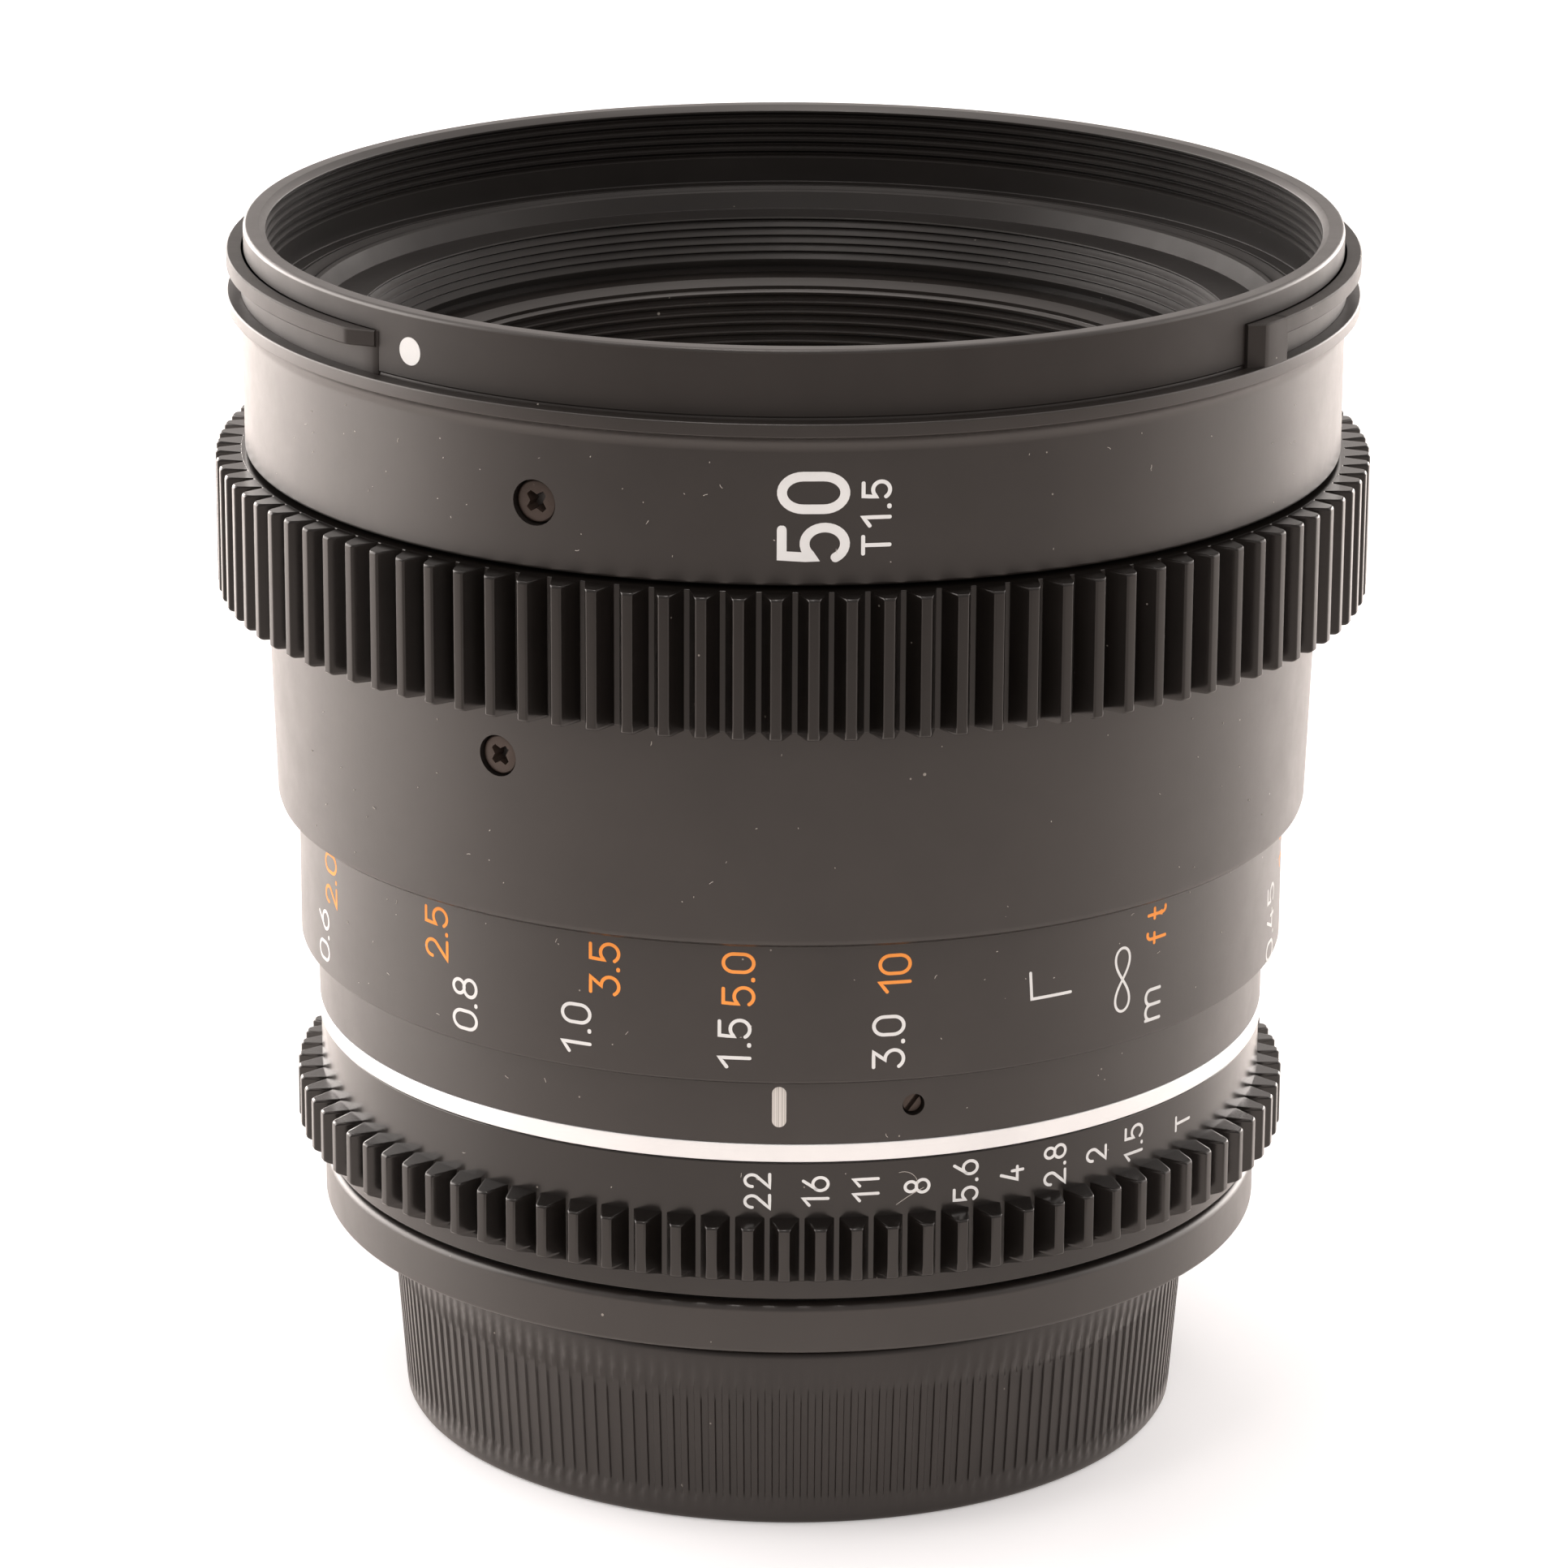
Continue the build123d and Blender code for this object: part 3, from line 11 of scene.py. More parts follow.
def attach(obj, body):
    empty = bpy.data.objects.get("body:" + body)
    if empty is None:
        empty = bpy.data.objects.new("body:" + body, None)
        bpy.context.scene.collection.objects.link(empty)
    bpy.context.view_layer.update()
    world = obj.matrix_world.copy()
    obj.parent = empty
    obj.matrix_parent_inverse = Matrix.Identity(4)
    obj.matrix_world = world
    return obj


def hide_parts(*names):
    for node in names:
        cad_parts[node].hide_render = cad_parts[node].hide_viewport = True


# A cinema prime lens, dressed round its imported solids. Sizes here are in millimetres and turn into
# metres in mesh(). Materials, lamps and the world are in metres. Heights are over the base of the
# rear cap. Angles are in degrees round the lens axis: zero faces -Y, +90 faces +X.

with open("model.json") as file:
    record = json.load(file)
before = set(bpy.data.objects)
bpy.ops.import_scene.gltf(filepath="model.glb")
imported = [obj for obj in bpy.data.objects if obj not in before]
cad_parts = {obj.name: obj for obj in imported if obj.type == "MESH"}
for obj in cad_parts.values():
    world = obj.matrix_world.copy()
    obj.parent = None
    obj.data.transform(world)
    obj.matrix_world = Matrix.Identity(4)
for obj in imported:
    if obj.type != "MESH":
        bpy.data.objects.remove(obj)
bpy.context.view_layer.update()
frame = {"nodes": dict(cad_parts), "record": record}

MM = 0.001
RING = 384  # columns of a turned piece
EVERY_THIRD = (0, 120, 240)  # the screws of a set
random.seed(7)

# Radii and heights that more than one piece uses
BARREL_R = 39.85  # fixed front barrel
HOOD_R = 39.7  # tube that takes a hood
THREAD_R = 38.1  # crests of the filter thread
SCALE_R = 36.36  # band of the distance scale
INDEX_R = 35.1  # fixed band with the index bar
IRIS_R = 35.0  # band of the T-stop scale
BARREL_SCREW_Z = 78.31
GRIP_SCREW_Z = 59.28
SET_SCREW_Z = 34.34
BARREL_SCREW_ANGLES = [-24.9 + turn for turn in EVERY_THIRD]
GRIP_SCREW_ANGLES = [-30.8 + turn for turn in EVERY_THIRD]
SET_SCREW_ANGLES = [15.5 + turn for turn in EVERY_THIRD]


# ---------------------------------------------------------------- node helpers
def new_material(name):
    mat = bpy.data.materials.new(name)
    mat.use_nodes = True
    tree = mat.node_tree
    tree.nodes.clear()
    out = tree.nodes.new("ShaderNodeOutputMaterial")
    bsdf = tree.nodes.new("ShaderNodeBsdfPrincipled")
    tree.links.new(bsdf.outputs[0], out.inputs[0])
    return mat, tree, bsdf


def feed(tree, made, sockets):
    """Give a node's inputs, by name or number, constants or the outputs of other nodes."""
    for key, value in sockets.items():
        if isinstance(value, bpy.types.NodeSocket):
            tree.links.new(value, made.inputs[key])
        else:
            made.inputs[key].default_value = value


def node(tree, kind, sockets=None, **settings):
    """Add a node: its settings come first, because they can change which sockets it has."""
    made = tree.nodes.new(kind)
    for key, value in settings.items():
        setattr(made, key, value)
    feed(tree, made, sockets or {})
    return made


def noise(tree, where, scale, detail, roughness=0.5):
    sockets = {"Vector": where, "Scale": scale, "Detail": detail, "Roughness": roughness}
    return node(tree, "ShaderNodeTexNoise", sockets).outputs[0]


def stripes(tree, where, axis, scale, detail):
    """Noise that changes along one axis only, as turning or brushing leaves it."""
    split = node(tree, "ShaderNodeSeparateXYZ", {0: where})
    sockets = {"W": split.outputs[axis], "Scale": scale, "Detail": detail}
    return node(tree, "ShaderNodeTexNoise", sockets, noise_dimensions="1D").outputs[0]


def maths(tree, operation, a, b):
    return node(tree, "ShaderNodeMath", {0: a, 1: b}, operation=operation).outputs[0]


def mix(tree, share, first, second, data_type="RGBA"):
    """Mix two colours, or two numbers. The Mix node has its sockets once for each kind of data."""
    a, b, result = (6, 7, 2) if data_type == "RGBA" else (2, 3, 0)
    sockets = {0: share, a: first, b: second}
    return node(tree, "ShaderNodeMix", sockets, data_type=data_type).outputs[result]


def ramp(tree, source, low, high, dark, light):
    made = node(tree, "ShaderNodeValToRGB", {0: source})
    for element, position, colour in zip(made.color_ramp.elements, (low, high), (dark, light)):
        element.position = position
        element.color = (*colour, 1)
    return made.outputs[0]


def spread(tree, source, low, high):
    """Stretch a level of 0 to 1 to a new range."""
    sockets = {"Value": source, "To Min": low, "To Max": high}
    return node(tree, "ShaderNodeMapRange", sockets).outputs[0]


# ---------------------------------------------------------------- materials
# Scales of the noises, in waves to a metre
TONE_SCALE = 90.0
SMEAR_SCALE = 260.0
TURNING_SCALE = 9000.0
BRUSHING_SCALE = 14000.0
LENS_SMEAR_SCALE = 60.0
DUST_TINT = (0.46, 0.43, 0.39, 1)
SPECKS = ((430.0, 0.030, 0.55), (190.0, 0.022, 0.60))  # cells to a metre, size, share left clean


def speckled(tree, where, colour, strength):
    """Lay pale specks over a colour, at the middles of some cells of a Voronoi pattern."""
    for scale, size, clean in SPECKS:
        cells = node(tree, "ShaderNodeTexVoronoi", {"Vector": where, "Scale": scale})
        near = maths(tree, "LESS_THAN", cells.outputs["Distance"], size)
        pick = node(tree, "ShaderNodeSeparateColor", {0: cells.outputs["Color"]})
        some = maths(tree, "GREATER_THAN", pick.outputs[0], clean)
        share = maths(tree, "MULTIPLY", maths(tree, "MULTIPLY", near, some), strength)
        colour = mix(tree, share, colour, DUST_TINT)
    return colour


def coated(
    name, dark, light, rough, grain=5200, bump=0.12, metal=0.0, dust=0.5, turned=0.0, spec=0.5
):
    """A finish: mottled tone and gloss, fine grain, optional turning lines and a little dust."""
    mat, tree, bsdf = new_material(name)
    where = tree.nodes.new("ShaderNodeTexCoord").outputs["Object"]
    colour = ramp(tree, noise(tree, where, TONE_SCALE, 4.0, 0.6), 0.3, 0.7, dark, light)
    if dust:
        colour = speckled(tree, where, colour, dust)
    gloss = spread(tree, noise(tree, where, SMEAR_SCALE, 5.0, 0.7), rough - 0.07, rough + 0.09)
    height = noise(tree, where, grain, 3.0, 0.55)
    if turned:
        lines = stripes(tree, where, "Z", TURNING_SCALE, 2.0)
        height = mix(tree, turned, height, lines, "FLOAT")
    bumps = node(
        tree, "ShaderNodeBump", {"Strength": bump, "Distance": 0.03 * MM, "Height": height}
    )
    feed(tree, bsdf, {
        "Base Color": colour,
        "Roughness": gloss,
        "Normal": bumps.outputs[0],
        "Metallic": metal,
        "Specular IOR Level": spec,
    })
    return mat


def brush(mat, dark, light):
    """Change a finish's mottled tone to fine streaks that run up the lens."""
    tree = mat.node_tree
    bsdf = next(n for n in tree.nodes if n.type == "BSDF_PRINCIPLED")
    where = tree.nodes.new("ShaderNodeTexCoord").outputs["Object"]
    lines = stripes(tree, where, "X", BRUSHING_SCALE, 1.0)
    feed(tree, bsdf, {"Base Color": ramp(tree, lines, 0.35, 0.65, dark, light)})


def glassy(name, film):
    """Lens glass with a thin anti-reflection film, in nanometres, that tints its reflections."""
    mat, tree, bsdf = new_material(name)
    where = tree.nodes.new("ShaderNodeTexCoord").outputs["Object"]
    feed(tree, bsdf, {
        "Base Color": (0.93, 0.97, 0.96, 1),
        "Roughness": spread(tree, noise(tree, where, LENS_SMEAR_SCALE, 3.0), 0.0, 0.03),
        "Transmission Weight": 1.0,
        "IOR": 1.52,
        "Thin Film Thickness": film,
        "Thin Film IOR": 1.38,
    })
    return mat


BODY = coated(
    "black_anodised", (0.0100, 0.0080, 0.0070), (0.0160, 0.0132, 0.0118), 0.37,
    turned=0.5, spec=0.80,
)
GEAR = coated(
    "gear_black", (0.0060, 0.0050, 0.0044), (0.0100, 0.0084, 0.0076), 0.20,
    grain=2600, bump=0.08, dust=0.4, spec=0.62,
)
# Matte black inside the front well: its base is darker than the body's, and that extra darkness is
# painted shade where the well lies in shadow
SHADED_WELL = coated(
    "well_black_shaded", (0.0055, 0.0046, 0.0042), (0.0090, 0.0077, 0.0070), 0.44,
    turned=0.6, dust=0.2, spec=0.34,
)
HOOD = coated(
    "hood_black", (0.0130, 0.0108, 0.0096), (0.0190, 0.0160, 0.0145), 0.52,
    turned=0.7, spec=0.46,
)
CAP = coated(
    "cap_plastic", (0.0083, 0.0065, 0.0060), (0.0129, 0.0103, 0.0094), 0.37,
    grain=3000, bump=0.2, dust=0.4, spec=0.62,
)
SILVER = coated(
    "bright_aluminium", (0.78, 0.795, 0.81), (0.86, 0.875, 0.89), 0.34,
    turned=0.8, metal=0.35, dust=0.0, bump=0.25,
)
STEEL = coated(
    "mount_steel", (0.52, 0.51, 0.50), (0.62, 0.61, 0.60), 0.28,
    turned=0.5, metal=1.0, dust=0.0, bump=0.2,
)
SCREW = coated(
    "black_screws", (0.036, 0.025, 0.020), (0.062, 0.044, 0.036), 0.34,
    metal=0.35, dust=0.1, bump=0.3, spec=0.6,
)
BLADE = coated(
    "blade_steel", (0.030, 0.030, 0.031), (0.050, 0.050, 0.052), 0.40, metal=0.6, dust=0.0
)
BRASS = coated(
    "roller_brass", (0.62, 0.46, 0.20), (0.74, 0.57, 0.28), 0.28,
    turned=0.4, metal=1.0, dust=0.0,
)
WHITE = coated(
    "white_paint", (0.63, 0.645, 0.65), (0.73, 0.745, 0.75), 0.55, dust=0.0, bump=0.3, spec=0.3
)
ORANGE = coated(
    "orange_paint", (0.80, 0.285, 0.055), (0.89, 0.335, 0.080), 0.55,
    dust=0.0, bump=0.3, spec=0.2,
)
DUST = coated("dust", (0.42, 0.40, 0.37), (0.55, 0.52, 0.49), 0.7, dust=0.0, spec=0.2)
BAR = coated(
    "brushed_bar", (0.56, 0.55, 0.535), (0.72, 0.71, 0.70), 0.45, metal=0.3, dust=0.0
)
brush(BAR, (0.42, 0.41, 0.39), (0.74, 0.73, 0.71))
GLASS_A = glassy("coated_glass_a", 470)
GLASS_B = glassy("coated_glass_b", 350)

MATERIAL_OF_SLOT = {
    "black_anodised": BODY,
    "gear_black": GEAR,
    "bright_aluminium": SILVER,
    "mount_steel": STEEL,
    "black_screws": SCREW,
    "blade_steel": BLADE,
    "roller_brass": BRASS,
    "cap_plastic": CAP,
    "white_paint": WHITE,
    "coated_glass": GLASS_A,
}
MATERIAL_OF_NODE = {
    "second_element": GLASS_B,
    "fifth_element": GLASS_B,
    "seventh_element": GLASS_B,
    "index_bar": BAR,
}
slots = {part["node"]: part["material_slot"] for part in frame["record"]["subparts"]}
for name, obj in frame["nodes"].items():
    for slot in obj.material_slots:
        slot.material = MATERIAL_OF_NODE.get(name, MATERIAL_OF_SLOT[slots[name]])


# ---------------------------------------------------------------- mesh helpers
def mesh(
    name, points, faces, mat, body, slot, replaced=(), smooth=True, weighted=False, sharp=None
):
    """Make an object from points in millimetres and put it on its body."""
    data = bpy.data.meshes.new(name)
    data.from_pydata([tuple(c * MM for c in p) for p in points], [], faces)
    data.validate()
    data.update()
    for poly in data.polygons:
        poly.use_smooth = smooth
    obj = bpy.data.objects.new(name, data)
    bpy.context.scene.collection.objects.link(obj)
    data.materials.append(mat)
    if sharp is not None:
        mark_sharp(data, sharp)
    if weighted:
        even_normals(obj)
    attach(obj, body)
    if replaced:
        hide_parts(*replaced)
    return obj


def mark_sharp(data, limit):
    """Mark the edges that turn by more than a limit, in degrees."""
    bm = bmesh.new()
    bm.from_mesh(data)
    bmesh.ops.recalc_face_normals(bm, faces=bm.faces)
    for edge in bm.edges:
        if len(edge.link_faces) == 2:
            edge.smooth = edge.calc_face_angle(0.0) < math.radians(limit)
    bm.to_mesh(data)
    bm.free()


def even_normals(obj):
    """Shade by the larger faces, so that a narrow bevel doesn't bend the light on a flat one."""
    mod = obj.modifiers.new("normals", "WEIGHTED_NORMAL")
    mod.keep_sharp = True
    mod.weight = 60


def around(radius, angle, z, across=0.0):
    """The point at a radius, an angle in radians and a height, moved sideways if asked."""
    s, c = math.sin(angle), math.cos(angle)
    return (radius * s + across * c, across * s - radius * c, z)


def quads(rows, count, ring=False):
    """Faces between neighbouring closed rows of points. A ring joins its last row to its first."""
    faces = []
    for k in range(rows if ring else rows - 1):
        low, high = k * count, (k + 1) % rows * count
        for i in range(count):
            j = (i + 1) % count
            faces.append((low + i, low + j, high + j, high + i))
    return faces


def loft(rows):
    """A closed solid through rows of points, with a flat face over the first and the last row."""
    count = len(rows[0])
    last = (len(rows) - 1) * count
    faces = quads(len(rows), count)
    faces.append(tuple(range(count))[::-1])
    faces.append(tuple(last + i for i in range(count)))
    return [point for row in rows for point in row], faces


def join_solids(solids):
    """Gather (points, faces) pairs into one."""
    points, faces = [], []
    for p, f in solids:
        base = len(points)
        points += p
        faces += [tuple(i + base for i in face) for face in f]
    return points, faces


def soften(outline, radius=0.1, steps=3):
    """Round the corners of a closed (r, z) outline. A point may carry its own corner radius."""
    straight, most = math.radians(160), 0.45  # share of a side that one corner may take
    made = []
    count = len(outline)
    for i, point in enumerate(outline):
        a, b, c = (np.array(outline[j % count][:2], float) for j in (i - 1, i, i + 1))
        r = point[2] if len(point) == 3 else radius
        u, v = a - b, c - b
        lu, lv = np.linalg.norm(u), np.linalg.norm(v)
        u, v = u / lu, v / lv
        angle = math.acos(max(-1, min(1, float(u @ v))))
        if r <= 0 or angle > straight:
            made.append(tuple(b))
            continue
        reach = min(r / math.tan(angle / 2), most * lu, most * lv)
        r = reach * math.tan(angle / 2)
        middle = b + (u + v) / np.linalg.norm(u + v) * (r / math.sin(angle / 2))
        start, end = b + u * reach - middle, b + v * reach - middle
        sweep = math.copysign(math.pi - angle, float(start[0] * end[1] - start[1] * end[0]))
        for k in range(steps + 1):
            cos, sin = math.cos(sweep * k / steps), math.sin(sweep * k / steps)
            x, y = start[0] * cos - start[1] * sin, start[0] * sin + start[1] * cos
            made.append((middle[0] + x, middle[1] + y))
    return made


def spin_points(outline, count=RING):
    """Points and faces of a closed (r, z) outline turned round the lens axis."""
    turns = [2 * math.pi * k / count for k in range(count)]
    points = [around(r, a, z) for a in turns for r, z in outline]
    return points, quads(count, len(outline), ring=True)


def facing(angle, z=0.0):
    """A frame in millimetres whose local Z faces outwards at an angle and whose local Y is up."""
    a = math.radians(angle)
    matrix = Matrix.Identity(4)
    matrix.col[0][:3] = (math.cos(a), math.sin(a), 0)
    matrix.col[1][:3] = (0, 0, 1)
    matrix.col[2][:3] = (math.sin(a), -math.cos(a), 0)
    matrix.col[3][:3] = (0, 0, z)
    return matrix


def prism(matrix, outline, low, high, shrink=1.0):
    """A straight or tapering solid from a flat outline that faces outwards."""
    return loft([
        [tuple(matrix @ Vector((x * scale, y * scale, level))) for x, y in outline]
        for level, scale in ((low, shrink), (high, 1.0))
    ])


def spun(matrix, outline, steps=40):
    """A small turned solid: outline is (radius, height) from its foot to its top."""
    turns = [2 * math.pi * k / steps for k in range(steps)]
    return loft([
        [tuple(matrix @ Vector((r * math.cos(t), r * math.sin(t), h))) for t in turns]
        for r, h in outline
    ])


def hole(angle, z, radius, inner, outer, half_height=None, steps=32):
    """A cutter for a round hole, or for an upright slot with round ends."""
    straight = half_height - radius if half_height else 0.0
    outline = []
    for k in range(steps):
        t = 2 * math.pi * k / steps
        y = radius * math.sin(t) + math.copysign(straight, math.sin(t))
        outline.append((radius * math.cos(t), y))
    return prism(facing(angle, z), outline, inner, outer)


def carve(obj, cutters, sharp):
    """Cut closed shapes out of an object, apply the result and mark its sharp edges."""
    points, faces = join_solids(cutters)
    data = bpy.data.meshes.new("cutters")
    data.from_pydata([tuple(c * MM for c in p) for p in points], [], faces)
    tool = bpy.data.objects.new("cutters", data)
    bpy.context.scene.collection.objects.link(tool)
    mod = obj.modifiers.new("cut", "BOOLEAN")
    mod.operation = "DIFFERENCE"
    mod.solver = "EXACT"
    mod.object = tool
    graph = bpy.context.evaluated_depsgraph_get()
    made = bpy.data.meshes.new_from_object(obj.evaluated_get(graph))
    obj.modifiers.clear()
    old = obj.data
    obj.data = made
    bpy.data.meshes.remove(old)
    bpy.data.objects.remove(tool)
    bpy.data.meshes.remove(data)
    mark_sharp(obj.data, sharp)


LATHE_SHARP = 32  # edges of turned pieces that turn by more, in degrees, stay sharp


def lathe(name, outline, mat, body, slot, replaced=(), holes=()):
    """A turned piece, with holes cut into its wall."""
    points, faces = spin_points(outline)
    obj = mesh(
        name, points, faces, mat, body, slot, replaced, sharp=LATHE_SHARP, weighted=not holes
    )
    if holes:
        carve(obj, holes, LATHE_SHARP)
        even_normals(obj)
    return obj


def swept(stations, low, high, inner, edge=0.1):
    """A rib round the axis: stations are (angle, outer radius), with softened outer edges."""
    rows = []
    for angle, outer in stations:
        soft = min(edge, max(0.0, outer - inner) / 3)
        section = (
            (inner, low), (outer - soft, low), (outer, low + soft),
            (outer, high - soft), (outer - soft, high), (inner, high),
        )
        rows.append([around(r, math.radians(angle), z) for r, z in section])
    return loft(rows)


def arc_stations(start, end, radius):
    """Stations at one radius from an angle to another, some 1.5 degrees apart."""
    count = max(1, int(abs(end - start) / 1.5))
    return [(start + (end - start) * k / count, radius) for k in range(count + 1)]


# ---------------------------------------------------------------- toothed rings
TOOTH_LAND = 0.76  # width of a tooth at its tip
TOOTH_LEAN = 20.0  # slope of its flanks
TOOTH_SOFT = 0.13  # rounding of its top edges
TOOTH_SINK = 0.15  # how far it stands in the ring


def teeth(count, phase, root, tip, levels):
    """Straight teeth as closed solids: levels are (height, top radius) up one tooth."""
    slope = math.tan(math.radians(TOOTH_LEAN))
    foot = root - TOOTH_SINK

    def half(r):
        return TOOTH_LAND / 2 + (tip - r) * slope

    solids = []
    for n in range(count):
        a = math.radians(phase + n * 360 / count)
        rows = []
        for z, top in levels:
            soft = min(TOOTH_SOFT, (top - foot) / 3)
            flank = [
                (half(foot), foot),
                (half(top - soft), top - soft),
                (half(top) - soft * 0.35, top - soft * 0.3),
                (half(top) - soft, top),
            ]
            section = [(-x, r) for x, r in flank] + flank[::-1]
            rows.append([around(r, a, z, x) for x, r in section])
        solids.append(loft(rows))
    return join_solids(solids)


# Focus gear
gear_core = spin_points(soften([(38.05, 63.35), (40.2, 63.35), (40.2, 73.35), (38.05, 73.35)]), 412)
gear_teeth = teeth(103, -0.27, 40.2, 42.0, [
    (63.36, 41.82), (63.42, 41.92), (63.55, 42.0), (73.12, 42.0), (73.27, 41.92), (73.34, 41.80),
])
mesh(
    "focus_gear", *join_solids([gear_core, gear_teeth]), GEAR, "focus_control", "gear_black",
    ("focus_gear_ring",), sharp=40, weighted=True,
)

# Iris ring: its band and its gear, whose teeth slope at both ends
iris_section = [
    (31.25, 19.95), (34.85, 19.95), (34.85, 21.35), (IRIS_R, 21.45), (IRIS_R, 30.3), (31.25, 30.3),
]
iris_core = spin_points(soften(iris_section, 0.12), 360)
iris_teeth = teeth(90, 0.68, IRIS_R, 36.8, [
    (21.38, 34.9), (21.55, 35.3), (22.00, 36.62), (22.10, 36.76), (22.22, 36.8),
    (25.76, 36.8), (25.88, 36.74), (25.96, 36.60), (26.12, 35.3), (26.16, 34.9),
])
mesh(
    "iris_band", *join_solids([iris_core, iris_teeth]), GEAR, "iris_control", "black_anodised",
    ("iris_ring",), sharp=40, weighted=True,
)


# ---------------------------------------------------------------- turned pieces
collar_section = [
    (29.75, 15.8), (34.85, 15.8, 0.35), (34.85, 19.5, 0.55),
    (33.45, 19.5), (33.45, 16.95), (29.75, 16.95),
]
lathe(
    "collar", soften(collar_section, steps=4), BODY, "housing", "black_anodised", ("rear_collar",)
)

silver_section = [(33.55, 30.4), (35.15, 30.4), (35.15, 31.7), (33.55, 31.7)]
lathe(
    "silver_band", soften(silver_section, 0.08), SILVER, "housing", "bright_aluminium",
    ("silver_ring",),
)

# Index band, with holes for its set screws and a slot for its bar
index_section = [
    (31.25, 30.5), (33.5, 30.5), (33.5, 31.7), (INDEX_R, 31.7), (INDEX_R, 36.4, 0.2), (31.25, 36.4),
]
index_holes = [hole(angle, SET_SCREW_Z, 0.80, 30.9, 36.5) for angle in SET_SCREW_ANGLES]
index_holes.append(hole(0.0, 34.5, 0.5, 34.8, 36.5, half_height=1.5))
lathe(
    "index_band_ring", soften(index_section), BODY, "housing", "black_anodised", ("index_band",),
    index_holes,
)

# Focus grip ring: distance scale, shoulder and barrel
grip_section = [
    (35.0, 36.66), (SCALE_R, 36.66, 0.2), (SCALE_R, 47.0, 0.06),
    (36.9, 47.0, 0.0), (37.45, 47.12, 0.0), (37.78, 47.38, 0.0), (37.9, 47.75, 0.0),
    (38.21, 57.2), (38.42, 63.3), (38.0, 63.3), (38.0, 73.35), (36.55, 73.35), (36.55, 76.1),
    (35.6, 76.1), (35.6, 61.2), (33.05, 61.2), (33.05, 57.6), (35.0, 57.6),
]
grip_holes = [hole(angle, GRIP_SCREW_Z, 1.50, 36.95, 40.0) for angle in GRIP_SCREW_ANGLES]
lathe(
    "grip_barrel", soften(grip_section), BODY, "focus_control", "black_anodised",
    ("focus_grip_ring",), grip_holes,
)

# Front barrel: the plain band, a cove up to the ledge, the hood tube, the rim and the thread
COVE_Z, COVE_REACH, COVE_RISE, COVE_STEPS = 82.95, 1.1, 1.3, 8
cove = []
for k in range(COVE_STEPS):
    t = math.pi / 2 * k / COVE_STEPS
    cove.append((BARREL_R + COVE_REACH * (1 - math.cos(t)), COVE_Z + COVE_RISE * math.sin(t), 0.0))
THREAD_TOP, THREAD_PITCH, THREAD_TURNS = 89.55, 0.75, 5
THREAD_FORM = ((0.0, 0.0), (0.0, 0.10), (0.36, 0.33), (0.36, 0.42), (0.0, 0.65))  # depth, drop
thread = [
    (THREAD_R + depth, THREAD_TOP - turn * THREAD_PITCH - drop, 0.0)
    for turn in range(THREAD_TURNS)
    for depth, drop in THREAD_FORM
]
barrel_section = (
    [(37.0, 73.65), (BARREL_R, 73.65, 0.25)]
    + cove
    + [
        (BARREL_R + COVE_REACH, COVE_Z + COVE_RISE), (BARREL_R + COVE_REACH, 85.2, 0.12),
        (39.98, 85.2, 0.0), (39.94, 85.0, 0.0), (39.66, 85.0, 0.0), (39.62, 85.3, 0.0),
        (HOOD_R, 85.42, 0.0), (HOOD_R, 90.0, 0.28), (38.55, 90.0, 0.12), (THREAD_R, 89.6),
    ]
    + thread
    + [(THREAD_R, 84.0), (37.0, 84.0)]
)
barrel_holes = [hole(angle, BARREL_SCREW_Z, 1.62, 38.5, 41.5) for angle in BARREL_SCREW_ANGLES]
barrel_holes.append(hole(-40.0, 87.31, 1.0, 39.5, 41.0))  # seat of the hood's index dot
tube = lathe(
    "front_tube", soften(barrel_section), BODY, "housing", "black_anodised", ("front_barrel",),
    barrel_holes,
)
# The inside of the tube takes the well's black, whose darker base is painted shade
tube.data.materials.append(SHADED_WELL)
tube.data.materials.append(HOOD)
for poly in tube.data.polygons:
    middle = poly.center / MM
    if middle.z > 89.5:
        poly.material_index = 0  # the rim
    elif middle.z > 80.0 and math.hypot(middle.x, middle.y) < 38.75:
        poly.material_index = 1  # inside
    elif middle.z > 85.25:
        poly.material_index = 2  # the hood tube

# Hood bayonet: each lug is a low flange with a stop at its start and a rib along its top edge
LUG_LOW, RIB_LOW, LUG_HIGH, LUG_INNER, LUG_R = 85.1, 87.07, 88.25, 39.5, 40.95
lugs = []
for turn in (0.0, 180.0):
    flange = arc_stations(52.7 + turn, 134.9 + turn, 39.95) + [(135.5 + turn, 39.72)]
    lugs.append(swept(flange, LUG_LOW, LUG_HIGH, LUG_INNER, 0.06))
    stop = [(52.7, 39.97), (53.9, 40.85), (54.4, LUG_R), (56.1, LUG_R), (57.75, LUG_R)]
    lugs.append(swept([(a + turn, r) for a, r in stop], LUG_LOW, LUG_HIGH, LUG_INNER))
    rib = arc_stations(57.5 + turn, 132.2 + turn, LUG_R)
    rib += [(132.8 + turn, 40.88), (135.3 + turn, 39.97)]
    lugs.append(swept(rib, RIB_LOW, LUG_HIGH, LUG_INNER))
mesh(
    "hood_lugs", *join_solids(lugs), HOOD, "housing", "black_anodised", sharp=30, weighted=True
)

# Stepped baffle with its ribbed cone, in the well's black with its painted shade
CONE_RIBS = 5


def cone_point(rib):
    t = rib / CONE_RIBS
    return 31.7 - 1.1 * t, 82.5 - 2.9 * t


